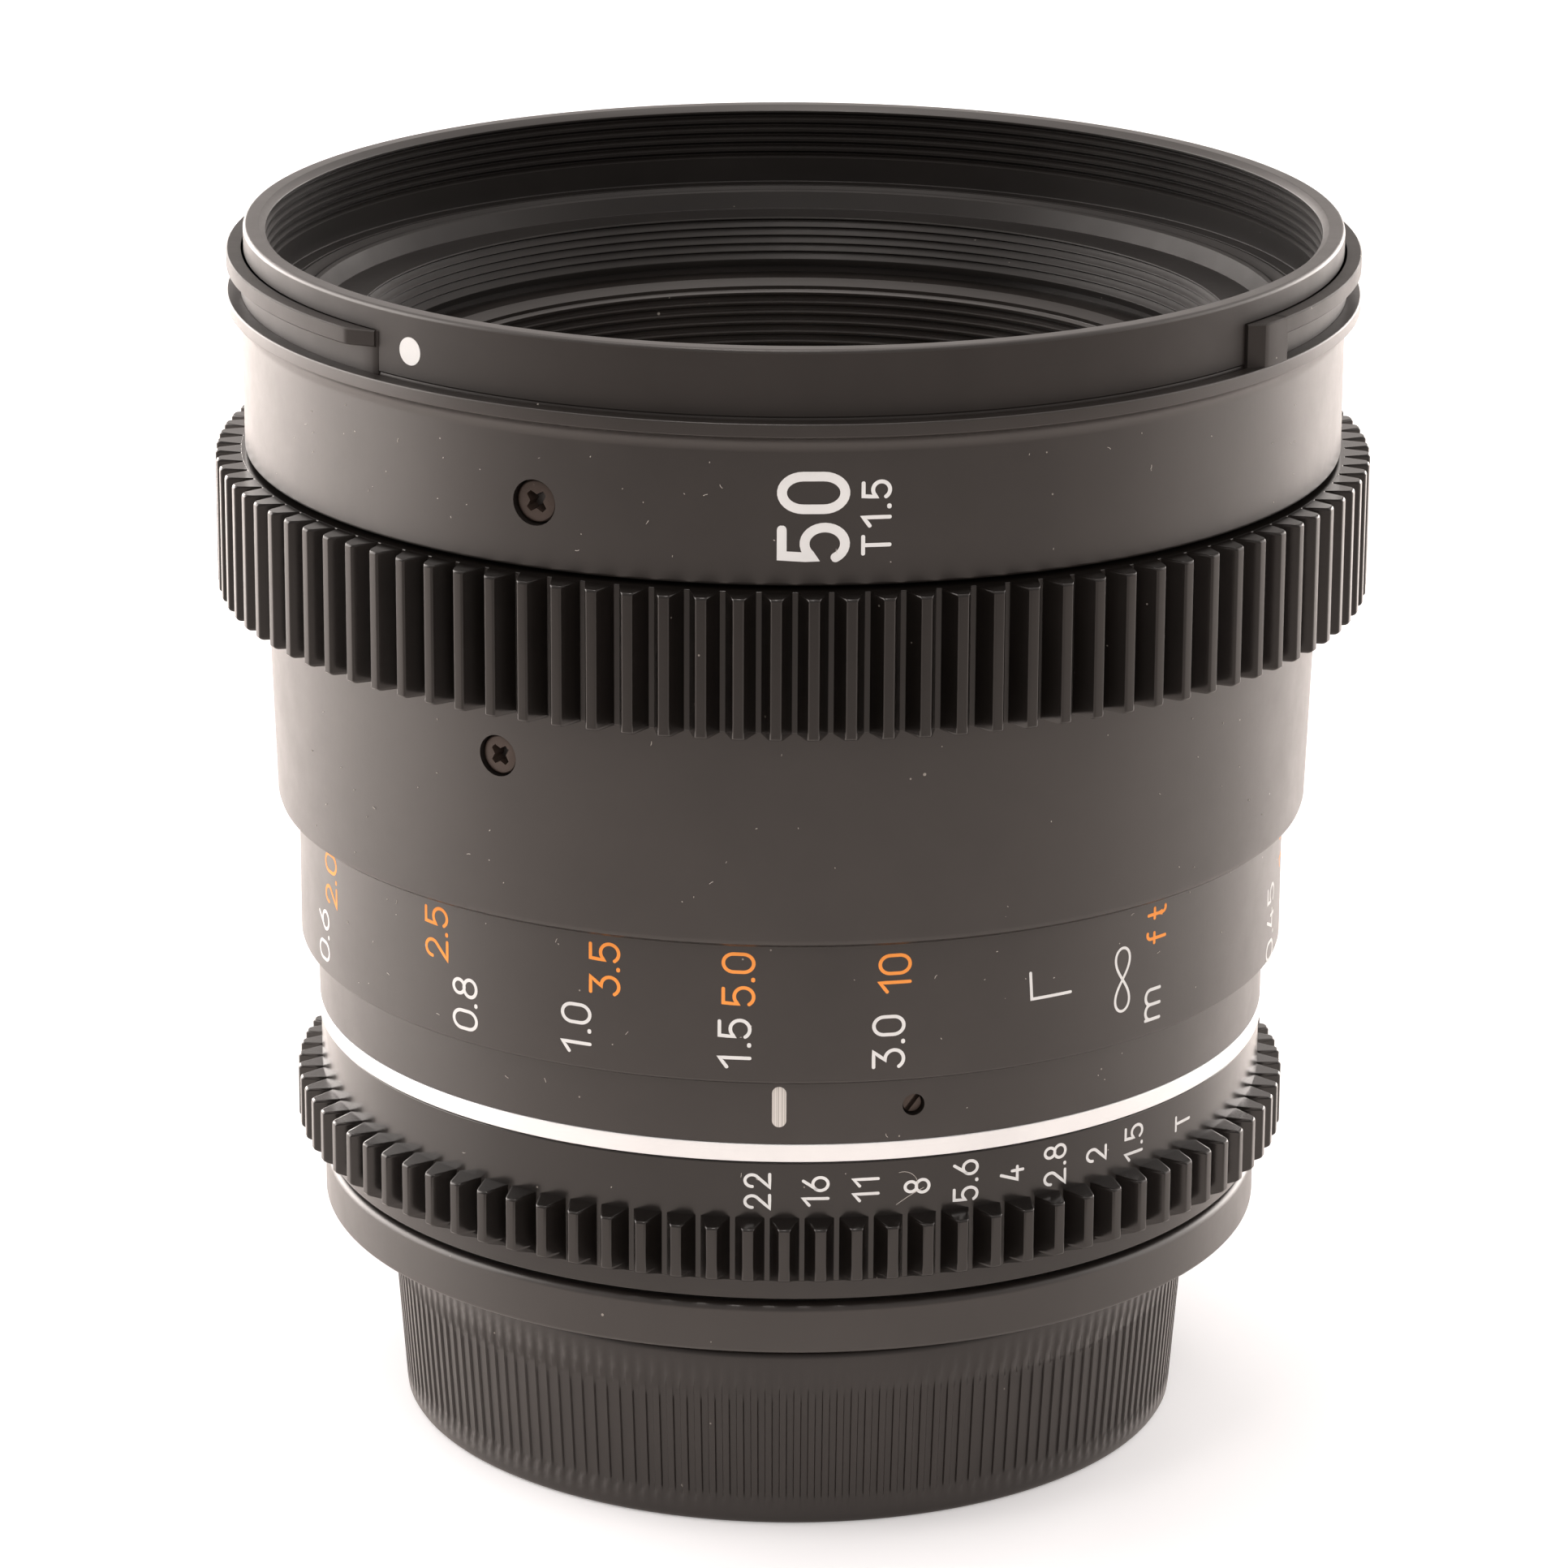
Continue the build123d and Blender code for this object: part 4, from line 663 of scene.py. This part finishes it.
ribbed = []
for k in range(CONE_RIBS):
    (r0, z0), (r1, z1) = cone_point(k), cone_point(k + 1)
    ribbed += [(r0 - 0.02, z0), (r0 + 0.24, z0 - 0.12), (r1 + 0.10, z1 + 0.10)]
baffle_section = (
    [
        (36.95, 80.6), (36.95, 84.0), (36.72, 84.0), (36.5, 83.8), (36.1, 83.55), (35.85, 83.62),
        (35.7, 83.92), (35.45, 84.0), (35.2, 83.86), (34.6, 82.65), (31.75, 82.62),
    ]
    + ribbed
    + [(30.6, 79.6), (30.62, 79.1), (31.5, 79.1), (31.5, 80.6)]
)
lathe(
    "front_baffle", soften(baffle_section, 0.05, 2), SHADED_WELL, "housing", "black_anodised",
    ("stepped_baffle",),
)

# Ribbed lining of the tube's mouth
LINING_TOP, LINING_PITCH, LINING_RIBS = 77.7, 0.77, 11
lining = [(28.49, 69.6), (28.49, 77.75)]
for k in range(LINING_RIBS):
    z = LINING_TOP - k * LINING_PITCH
    lining += [(28.46, z), (28.16, z - 0.14), (28.16, z - 0.30), (28.46, z - 0.50)]
lathe("mouth_lining", soften(lining, 0.03, 2), BODY, "housing", "black_anodised")


# ---------------------------------------------------------------- rear cap
CAP_GROOVES = 180
GROOVE_DEPTH = 0.14
GROOVE_FORM = ((0.03, 0.0), (0.46, 0.0), (0.54, 1.0), (0.97, 1.0))  # share of the pitch, depth
CAP_FOOT = ((28.2, 0.0), (28.55, 0.06), (28.78, 0.2), (28.92, 0.42), (28.965, 0.8))
CAP_LIP = ((29.9, 13.4), (29.86, 13.65), (29.7, 13.8))
CAP_INSIDE = ((28.1, 13.8), (27.95, 13.65), (26.9, 1.6), (26.8, 1.5))


def cap_solids():
    """The cap's shell, with fine upright grooves that fade out at both ends, and its three lugs."""
    levels = [(r, z, 0.0) for r, z in CAP_FOOT]
    for n in range(21):
        z = 1.3 + 0.6 * n
        fade = min(1.0, max(0.0, (z - 1.2) / 1.2)) * min(1.0, max(0.0, (12.9 - z) / 3.2))
        levels.append((28.9 + 1.05 * z / 13.8, z, GROOVE_DEPTH * fade))
    levels += [(r, z, 0.0) for r, z in CAP_LIP + CAP_INSIDE]
    columns = [
        (2 * math.pi * (n + share) / CAP_GROOVES, sunk)
        for n in range(CAP_GROOVES)
        for share, sunk in GROOVE_FORM
    ]
    rows = [[around(r - depth * sunk, a, z) for a, sunk in columns] for r, z, depth in levels]
    lugs = [
        swept(arc_stations(turn - 27, turn + 27, 28.5), 11.1, 12.9, 22.15) for turn in EVERY_THIRD
    ]
    return join_solids([loft(rows), *lugs])


mesh("cap_shell", *cap_solids(), CAP, "cap", "cap_plastic", ("rear_cap",), sharp=50, weighted=True)


# ---------------------------------------------------------------- screws
SCREW_SHARP = 30
SHANK_R = 0.8


def turned_outline(points, degrees):
    c, s = math.cos(math.radians(degrees)), math.sin(math.radians(degrees))
    return [(x * c - y * s, x * s + y * c) for x, y in points]


def cross_screws(name, angles, z, replaced, radius, top, bottom, shank_end, body):
    """Cross-head screws: a bevelled head, a tapering cross recess and the shank."""
    head = [
        (SHANK_R, shank_end), (SHANK_R, bottom), (radius, bottom),
        (radius, top - 0.12), (radius - 0.10, top - 0.02), (radius - 0.22, top),
    ]
    arm, half = radius * 0.58, radius * 0.14
    web = half * 1.7
    quarter = [(arm, -half), (arm, half), (web, web)]
    cross = [point for turn in (0, 90, 180, 270) for point in turned_outline(quarter, turn)]
    blanks, recesses = [], []
    for angle, twist in zip(angles, (45, 12, 70)):
        matrix = facing(angle, z)
        blanks.append(spun(matrix, head))
        recesses.append(prism(matrix, turned_outline(cross, twist), top - 1.5, top + 0.1, 0.55))
    obj = mesh(name, *join_solids(blanks), SCREW, body, "black_screws", replaced)
    carve(obj, recesses, SCREW_SHARP)


def grub_screws(name, angles, z, replaced, radius, top, foot):
    """Slotted grub screws with a bevelled top."""
    slot = [(-0.17, -1.0), (0.17, -1.0), (0.17, 1.0), (-0.17, 1.0)]
    blanks, recesses = [], []
    for angle, twist in zip(angles, (-38, 20, 64)):
        matrix = facing(angle, z)
        blanks.append(spun(matrix, [(radius, foot), (radius, top - 0.10), (radius - 0.09, top)]))
        recesses.append(prism(matrix, turned_outline(slot, twist), top - 0.45, top + 0.1))
    obj = mesh(name, *join_solids(blanks), SCREW, "housing", "black_screws", replaced)
    carve(obj, recesses, SCREW_SHARP)


cross_screws(
    "barrel_cross_screws", BARREL_SCREW_ANGLES, BARREL_SCREW_Z, ("front_barrel_screws",),
    radius=1.50, top=39.46, bottom=38.62, shank_end=34.0, body="housing",
)
cross_screws(
    "grip_cross_screws", GRIP_SCREW_ANGLES, GRIP_SCREW_Z, ("focus_ring_screws",),
    radius=1.40, top=37.95, bottom=37.0, shank_end=31.1, body="focus_control",
)
grub_screws(
    "grub_screws", SET_SCREW_ANGLES, SET_SCREW_Z, ("band_set_screws",),
    radius=0.74, top=34.62, foot=31.3,
)


# ---------------------------------------------------------------- stroke alphabet
def arc(x, y, rx, ry, start, end):
    """A path along an ellipse, in steps of some 12 degrees."""
    count = max(2, int(abs(end - start) / 12))
    turns = [math.radians(start + (end - start) * k / count) for k in range(count + 1)]
    return [(x + rx * math.cos(t), y + ry * math.sin(t)) for t in turns]


def infinity_path(half=0.975, waist=0.10, count=60):
    """A figure of eight on its side, whose loops are drawn in a little towards its middle."""
    path = []
    for k in range(count + 1):
        t = 2 * math.pi * k / count
        x = half * math.cos(t) * (1 + waist * math.cos(2 * t)) / (1 + waist)
        path.append((half + x, 0.5 + 0.98 * math.sin(t) * math.cos(t)))
    return path


# Each glyph has its width and its paths, in a cell one unit high, the way an engraver draws them
W = 0.62
GLYPHS = {
    "0": (W, [arc(W / 2, 0.66, W / 2, 0.34, 0, 180) + arc(W / 2, 0.34, W / 2, 0.34, 180, 360)
              + [(W, 0.66)]]),
    "1": (0.32, [[(0.0, 0.76), (0.32, 1.0), (0.32, 0.0)]]),
    "2": (W, [[(0.02, 0.70)] + arc(0.30, 0.71, 0.28, 0.29, 176, -38) + [(0.0, 0.0), (W, 0.0)]]),
    "3": (W, [[(0.02, 1.0), (0.54, 1.0), (0.26, 0.62)] + arc(0.28, 0.31, 0.31, 0.31, 84, -150)]),
    "4": (W, [[(0.30, 1.0), (0.0, 0.26), (W, 0.26)], [(0.44, 0.50), (0.44, 0.0)]]),
    "5": (W, [[(0.55, 1.0), (0.06, 1.0), (0.03, 0.52)] + arc(0.29, 0.32, 0.31, 0.32, 132, -148)]),
    "6": (W, [[(0.46, 1.0), (0.10, 0.52)] + arc(0.31, 0.31, 0.31, 0.31, 146, 506)]),
    "8": (W, [arc(0.31, 0.76, 0.24, 0.24, -90, 270), arc(0.31, 0.27, 0.30, 0.27, 90, 450)]),
    ".": (0.03, [[(0.0, 0.02), (0.03, 0.02)]]),
    "T": (0.64, [[(0.0, 1.0), (0.64, 1.0)], [(0.32, 1.0), (0.32, 0.0)]]),
    "m": (0.88, [[(0.0, 0.66), (0.0, 0.0)],
                 [(0.0, 0.42)] + arc(0.22, 0.44, 0.22, 0.22, 160, 0) + [(0.44, 0.0)],
                 [(0.44, 0.42)] + arc(0.66, 0.44, 0.22, 0.22, 160, 0) + [(0.88, 0.0)]]),
    "f": (0.42, [arc(0.36, 0.82, 0.18, 0.18, 70, 180) + [(0.18, 0.0)],
                 [(0.0, 0.62), (0.40, 0.62)]]),
    "t": (0.42, [[(0.16, 0.96), (0.16, 0.18)] + arc(0.34, 0.18, 0.18, 0.18, 180, 285),
                 [(0.0, 0.62), (0.40, 0.62)]]),
    "i": (1.95, [infinity_path()]),  # the sign for infinity
}

PAINT_LIFT = 0.008  # how far paint stands over the wall
PAINT_STEP = 0.003  # and each further stroke of a glyph over the one before, where they cross
PAINT_FOOT = -0.06
PATH_STEP = 0.35  # length of the pieces that follow a curved wall
ROUND_END = (0.40, 0.72, 0.93)  # shares of the half width where a stroke's round end has points
MITRE_LIMIT = 0.55
DOT_WIDTH = 1.15


def wrapped(radius, angle=0.0, z=0.0, way=1):
    """A map from (height, distance round a cylinder, lift off it) to a point in space."""
    start = math.radians(angle)

    def place(u, v, lift):
        return around(radius + lift, start + way * v / radius, z + u)

    return place


def stroke(path, width, place, lift):
    """A thin closed strip along a path on a cylinder, with round ends unless it meets itself."""
    dense = [path[0]]
    for a, b in zip(path, path[1:]):
        count = max(1, int(math.dist(a, b) / PATH_STEP))
        dense += [
            (a[0] + (b[0] - a[0]) * k / count, a[1] + (b[1] - a[1]) * k / count)
            for k in range(1, count + 1)
        ]
    pts = np.array(dense)
    seg = np.diff(pts, axis=0)
    seg /= np.maximum(np.linalg.norm(seg, axis=1), 1e-9)[:, None]
    loop = math.dist(dense[0], dense[-1]) < 1e-6
    left, right = [], []
    half = width / 2
    n = len(pts)
    for i in range(n):
        before = seg[i - 1] if i > 0 else (seg[-1] if loop else seg[0])
        after = seg[i] if i < n - 1 else (seg[0] if loop else seg[-1])
        side = np.array([-(before + after)[1], (before + after)[0]])
        side /= max(np.linalg.norm(side), 1e-9)
        mitre = half / max(MITRE_LIMIT, float(side @ np.array([-after[1], after[0]])))
        left.append(pts[i] + side * mitre)
        right.append(pts[i] - side * mitre)
    if not loop:
        for at_start, end, way in ((True, pts[0], -seg[0]), (False, pts[-1], seg[-1])):
            normal = np.array([-way[1], way[0]])
            for t in ROUND_END:
                w = half * math.sqrt(1 - t * t)
                a, b = end + way * half * t + normal * w, end + way * half * t - normal * w
                if at_start:
                    left.insert(0, b)
                    right.insert(0, a)
                else:
                    left.append(a)
                    right.append(b)
    points, faces = [], []
    for a, b in zip(left, right):
        for p in (a, b):
            points += [place(p[0], p[1], lift), place(p[0], p[1], PAINT_FOOT)]
    n = len(left)
    for i in range(n if loop else n - 1):
        a, b = 4 * i, 4 * ((i + 1) % n)
        faces += [
            (a, b, b + 2, a + 2), (a + 1, a + 3, b + 3, b + 1),
            (a, a + 1, b + 1, b), (a + 2, b + 2, b + 3, a + 3),
        ]
    if not loop:
        e = 4 * (n - 1)
        faces += [(0, 2, 3, 1), (e, e + 1, e + 3, e + 2)]
    return points, faces


def marking(text, angle, z, height, radius, width, stretch=1.0, gap=0.66, lead=0.95):
    """Text that reads up the lens: its foot line lies at the larger angle, its right end on top.
    The gap between glyphs, from centre line to centre line, is in millimetres. A full stop takes
    less, and lead is its share after a 1."""
    gaps = [
        gap * ((lead if a == "1" else 0.78) if "." in (a, b) else 1.0)
        for a, b in zip(text, text[1:])
    ]
    scale = height * stretch
    x = -(sum(GLYPHS[c][0] for c in text) * scale + sum(gaps)) / 2
    place = wrapped(radius, angle, z, way=-1)
    parts = []
    for c, space in zip(text, gaps + [0]):
        advance, paths = GLYPHS[c]
        thick = width * (DOT_WIDTH if c == "." else 1.0)
        for k, path in enumerate(paths):
            placed = [(px * scale + x, (py - 0.5) * height) for px, py in path]
            parts.append(stroke(placed, thick, place, PAINT_LIFT + PAINT_STEP * k))
        x += advance * scale + space
    return parts


def lettering(name, parts, mat, body):
    mesh(name, *join_solids(parts), mat, body, "white_paint", smooth=False)


# ---------------------------------------------------------------- scales
barrel_parts = marking("50", 3.2, 78.45, 4.26, BARREL_R, 0.66, stretch=0.86, gap=1.20)
barrel_parts += marking("T1.5", 9.32, 78.42, 1.80, BARREL_R, 0.27, stretch=1.02, gap=0.76)
lettering("barrel_marks", barrel_parts, WHITE, "housing")

# Each scale gives its numbers and their angles
IRIS = (
    ("22", -2.47), ("16", 4.24), ("11", 10.05), ("8", 16.07), ("5.6", 22.0),
    ("4", 27.9), ("2.8", 33.74), ("2", 39.83), ("1.5", 45.91), ("T", 55.28),
)
FEET = (
    ("1.5", -96.4), ("2.0", -64.66), ("2.5", -42.18), ("3.5", -19.6), ("5.0", -4.46), ("10", 12.71)
)
METRES = (
    ("0.45", -104.0), ("0.6", -67.3), ("0.8", -37.89),
    ("1.0", -23.05), ("1.5", -4.88), ("3.0", 12.07),
)

iris_parts = []
for text, angle in IRIS:
    iris_parts += marking(text, angle, 28.16, 1.74, IRIS_R, 0.22, stretch=0.90, gap=0.60)
lettering("iris_marks", iris_parts, WHITE, "iris_control")

# The distance scale comes twice, once for each side of the camera
orange_parts, white_parts = [], []
for turn in (0.0, 180.0):
    for text, angle in FEET:
        z = 44.62 if text == "10" else 44.3
        orange_parts += marking(text, angle + turn, z, 2.12, SCALE_R, 0.25, lead=1.4)
    orange_parts += marking("ft", 46.54 + turn, 44.85, 1.86, SCALE_R, 0.24, gap=1.05)
    for text, angle in METRES:
        white_parts += marking(text, angle + turn, 39.6, 2.12, SCALE_R, 0.25, lead=1.4)
    white_parts += marking("m", 45.55 + turn, 38.95, 2.2, SCALE_R, 0.24, stretch=1.16)
    white_parts += marking("i", 41.29 + turn, 41.5, 1.36, SCALE_R, 0.20, stretch=1.78)
    # Hook that marks infinity, as (height, angle)
    hook = [(43.50, 28.65), (41.56, 28.85), (41.56, 33.9)]
    hook = [(z, math.radians(angle) * SCALE_R) for z, angle in hook]
    white_parts.append(stroke(hook, 0.22, wrapped(SCALE_R, turn), PAINT_LIFT))
lettering("feet_marks", orange_parts, ORANGE, "focus_control")
lettering("metre_marks", white_parts, WHITE, "focus_control")


# ---------------------------------------------------------------- dust
FIBRE_LIFT = 0.03
SPECK_LENGTHS = (0.03, 0.04, 0.05, 0.08, 0.12, 0.30)


def fibres(name, body, places):
    """Fibres and specks lying on a body: (angle, height, radius, lean, length, bend)."""
    parts = []
    for angle, z, radius, lean, length, bend in places:
        count = 10 if length > 0.3 else 2
        path = []
        x = y = 0.0
        way = math.radians(lean)
        for k in range(count + 1):
            path.append((x, y))
            x += length / count * math.cos(way)
            y += length / count * math.sin(way)
            way += math.radians(bend) / count
        thick = 0.05 if length < 0.1 else 0.028
        parts.append(stroke(path, thick, wrapped(radius, angle, z), FIBRE_LIFT))
    lettering(name, parts, DUST, body)


def scattered(count, low_angle, high_angle, low_z, high_z, radius_at):
    """Random places for fibres on a wall whose radius is given at each height."""
    made = []
    for k in range(count):
        z = random.uniform(low_z, high_z)
        angle = random.uniform(low_angle, high_angle)
        lean = random.uniform(0, 360)
        length = random.choice(SPECK_LENGTHS)
        made.append((angle, z, radius_at(z), lean, length, random.uniform(-90, 90)))
    return made


fibres(
    "barrel_fibres", "housing",
    scattered(44, -65, 65, 74.5, 82.5, lambda z: BARREL_R)
    + scattered(7, -35, 45, 32.2, 36.0, lambda z: INDEX_R),
)
fibres(
    "focus_fibres", "focus_control",
    scattered(40, -65, 65, 48.5, 62.5, lambda z: 37.93 + 0.033 * (z - 47.9))
    + scattered(30, -60, 60, 37.5, 46.5, lambda z: SCALE_R),
)
fibres(
    "iris_fibres", "iris_control",
    [(13.6, 26.9, IRIS_R, 55.0, 2.3, 12.0), (13.9, 29.3, IRIS_R, 80.0, 2.1, 110.0)]
    + scattered(6, -45, 50, 26.8, 29.8, lambda z: IRIS_R),
)


# ---------------------------------------------------------------- camera
# Fitted to the circles that the lens shows in the photograph, in millimetres
azimuth, elevation, roll = math.radians(1.23), math.radians(17.751), math.radians(0.283)
distance, aim_height, side_shift = 501.04, 46.94, 0.524
turn = Matrix.Rotation(azimuth, 3, "Z")
back = turn @ Vector((0, -math.cos(elevation), math.sin(elevation)))
right = turn @ Vector((1, 0, 0))
up = back.cross(right)
camera_data = bpy.data.cameras.new("camera")
camera_data.sensor_width = 36.0
camera_data.lens = 155.13
camera_data.clip_start = 0.01
camera_data.clip_end = 50.0
camera = bpy.data.objects.new("camera", camera_data)
bpy.context.scene.collection.objects.link(camera)
matrix = Matrix.Identity(4)
matrix.col[0][:3] = right * math.cos(roll) + up * math.sin(roll)
matrix.col[1][:3] = up * math.cos(roll) - right * math.sin(roll)
matrix.col[2][:3] = back
matrix.col[3][:3] = (Vector((0, 0, aim_height)) + back * distance - right * side_shift) * MM
camera.matrix_world = matrix
bpy.context.scene.camera = camera


# ---------------------------------------------------------------- lamps
LAMP_COLOUR = (1.0, 0.925, 0.88)
LAMP_TARGET = Vector((0, 0, 0.05))
LAMPS = (  # name, place and size in metres, power in watts
    ("left_soft", (-0.51, 0.08, 0.22), (0.48, 0.44), 3.0),
    ("right_soft", (0.56, 0.10, 0.22), (0.44, 0.44), 0.8),
    ("back_left", (-0.34, 0.40, 0.12), (0.40, 0.24), 2.6),
    ("back_right", (0.36, 0.42, 0.12), (0.36, 0.24), 2.35),
    ("top_soft", (-0.05, 0.10, 0.75), (0.6, 0.5), 1.0),
    ("top_spark", (-0.06, -0.24, 0.70), (0.15, 0.15), 0.8),
    ("front_fill", (0.15, -0.75, 0.42), (0.7, 0.5), 3.6),
)
for name, where, size, power in LAMPS:
    data = bpy.data.lights.new(name, "AREA")
    data.shape = "RECTANGLE"
    data.size, data.size_y = size
    data.energy = power
    data.color = LAMP_COLOUR
    lamp = bpy.data.objects.new(name, data)
    bpy.context.scene.collection.objects.link(lamp)
    lamp.location = where
    lamp.rotation_mode = "QUATERNION"
    lamp.rotation_quaternion = (Vector(where) - LAMP_TARGET).to_track_quat("Z", "Y")
    # The fill only lifts the dull tones, and no gloss shows it
    lamp.visible_glossy = name != "front_fill"


# ---------------------------------------------------------------- world and floor
def from_front(tree, source, low, high, dark, light):
    """A level that climbs from the camera's side of the set to its far side."""
    split = node(tree, "ShaderNodeSeparateXYZ", {0: source})
    sockets = {
        "Value": split.outputs["Y"],
        "From Min": low, "From Max": high, "To Min": dark, "To Max": light,
    }
    made = tree.nodes.new("ShaderNodeMapRange")
    made.interpolation_type = "SMOOTHSTEP"
    feed(tree, made, sockets)
    return made.outputs[0]


def mix_shaders(tree, share, first, second):
    return node(tree, "ShaderNodeMixShader", {0: share, 1: first, 2: second}).outputs[0]


def background(tree, colour, strength):
    return node(tree, "ShaderNodeBackground", {"Color": colour, "Strength": strength}).outputs[0]


# The world lights dull surfaces evenly, is darker towards the camera in mirrored and refracted
# rays, and is plain white where the camera sees it
world = bpy.data.worlds.new("world")
bpy.context.scene.world = world
world.use_nodes = True
tree = world.node_tree
tree.nodes.clear()
path = tree.nodes.new("ShaderNodeLightPath").outputs
where = tree.nodes.new("ShaderNodeTexCoord").outputs["Generated"]
lit = background(tree, (1.0, 0.94, 0.90, 1), 0.50)
mirrored = background(
    tree, (1.0, 0.91, 0.86, 1), from_front(tree, where, -0.8, 0.3, 0.45, 1.0)
)
seen = background(tree, (1.0, 0.995, 0.99, 1), 1.0)
sharp_ray = maths(tree, "MAXIMUM", path["Is Glossy Ray"], path["Is Transmission Ray"])
unseen = mix_shaders(tree, sharp_ray, lit, mirrored)
surface = mix_shaders(tree, path["Is Camera Ray"], unseen, seen)
node(tree, "ShaderNodeOutputWorld", {0: surface})

# The floor is a white sheet that is darker and glows less towards the camera, except where the
# camera sees it
floor_data = bpy.data.meshes.new("floor")
half = 3.0
corners = [(-half, -half, 0), (half, -half, 0), (half, half, 0), (-half, half, 0)]
floor_data.from_pydata(corners, [], [(0, 1, 2, 3)])
floor = bpy.data.objects.new("floor", floor_data)
bpy.context.scene.collection.objects.link(floor)
floor_mat, tree, bsdf = new_material("floor")
path = tree.nodes.new("ShaderNodeLightPath").outputs
where = tree.nodes.new("ShaderNodeNewGeometry").outputs["Position"]
sheet = mix(
    tree, from_front(tree, where, -0.36, -0.04, 0.0, 1.0),
    (0.30, 0.272, 0.258, 1), (0.86, 0.79, 0.75, 1),
)
feed(tree, bsdf, {
    "Base Color": mix(tree, path["Is Camera Ray"], sheet, (0.83, 0.845, 0.875, 1)),
    "Roughness": 0.45,
    "Specular IOR Level": 0.3,
})
mirror = maths(
    tree, "MULTIPLY", path["Is Glossy Ray"], from_front(tree, where, -0.14, 0.16, 0.0, 0.45)
)
direct = maths(tree, "MULTIPLY", path["Is Camera Ray"], 0.25)
glow = node(
    tree, "ShaderNodeEmission",
    {"Color": (1.0, 0.97, 0.955, 1), "Strength": maths(tree, "ADD", mirror, direct)},
)
both = node(tree, "ShaderNodeAddShader", {0: bsdf.outputs[0], 1: glow.outputs[0]})
out = next(n for n in tree.nodes if n.type == "OUTPUT_MATERIAL")
feed(tree, out, {0: both.outputs[0]})
floor_data.materials.append(floor_mat)

bpy.context.scene.view_settings.view_transform = "Standard"
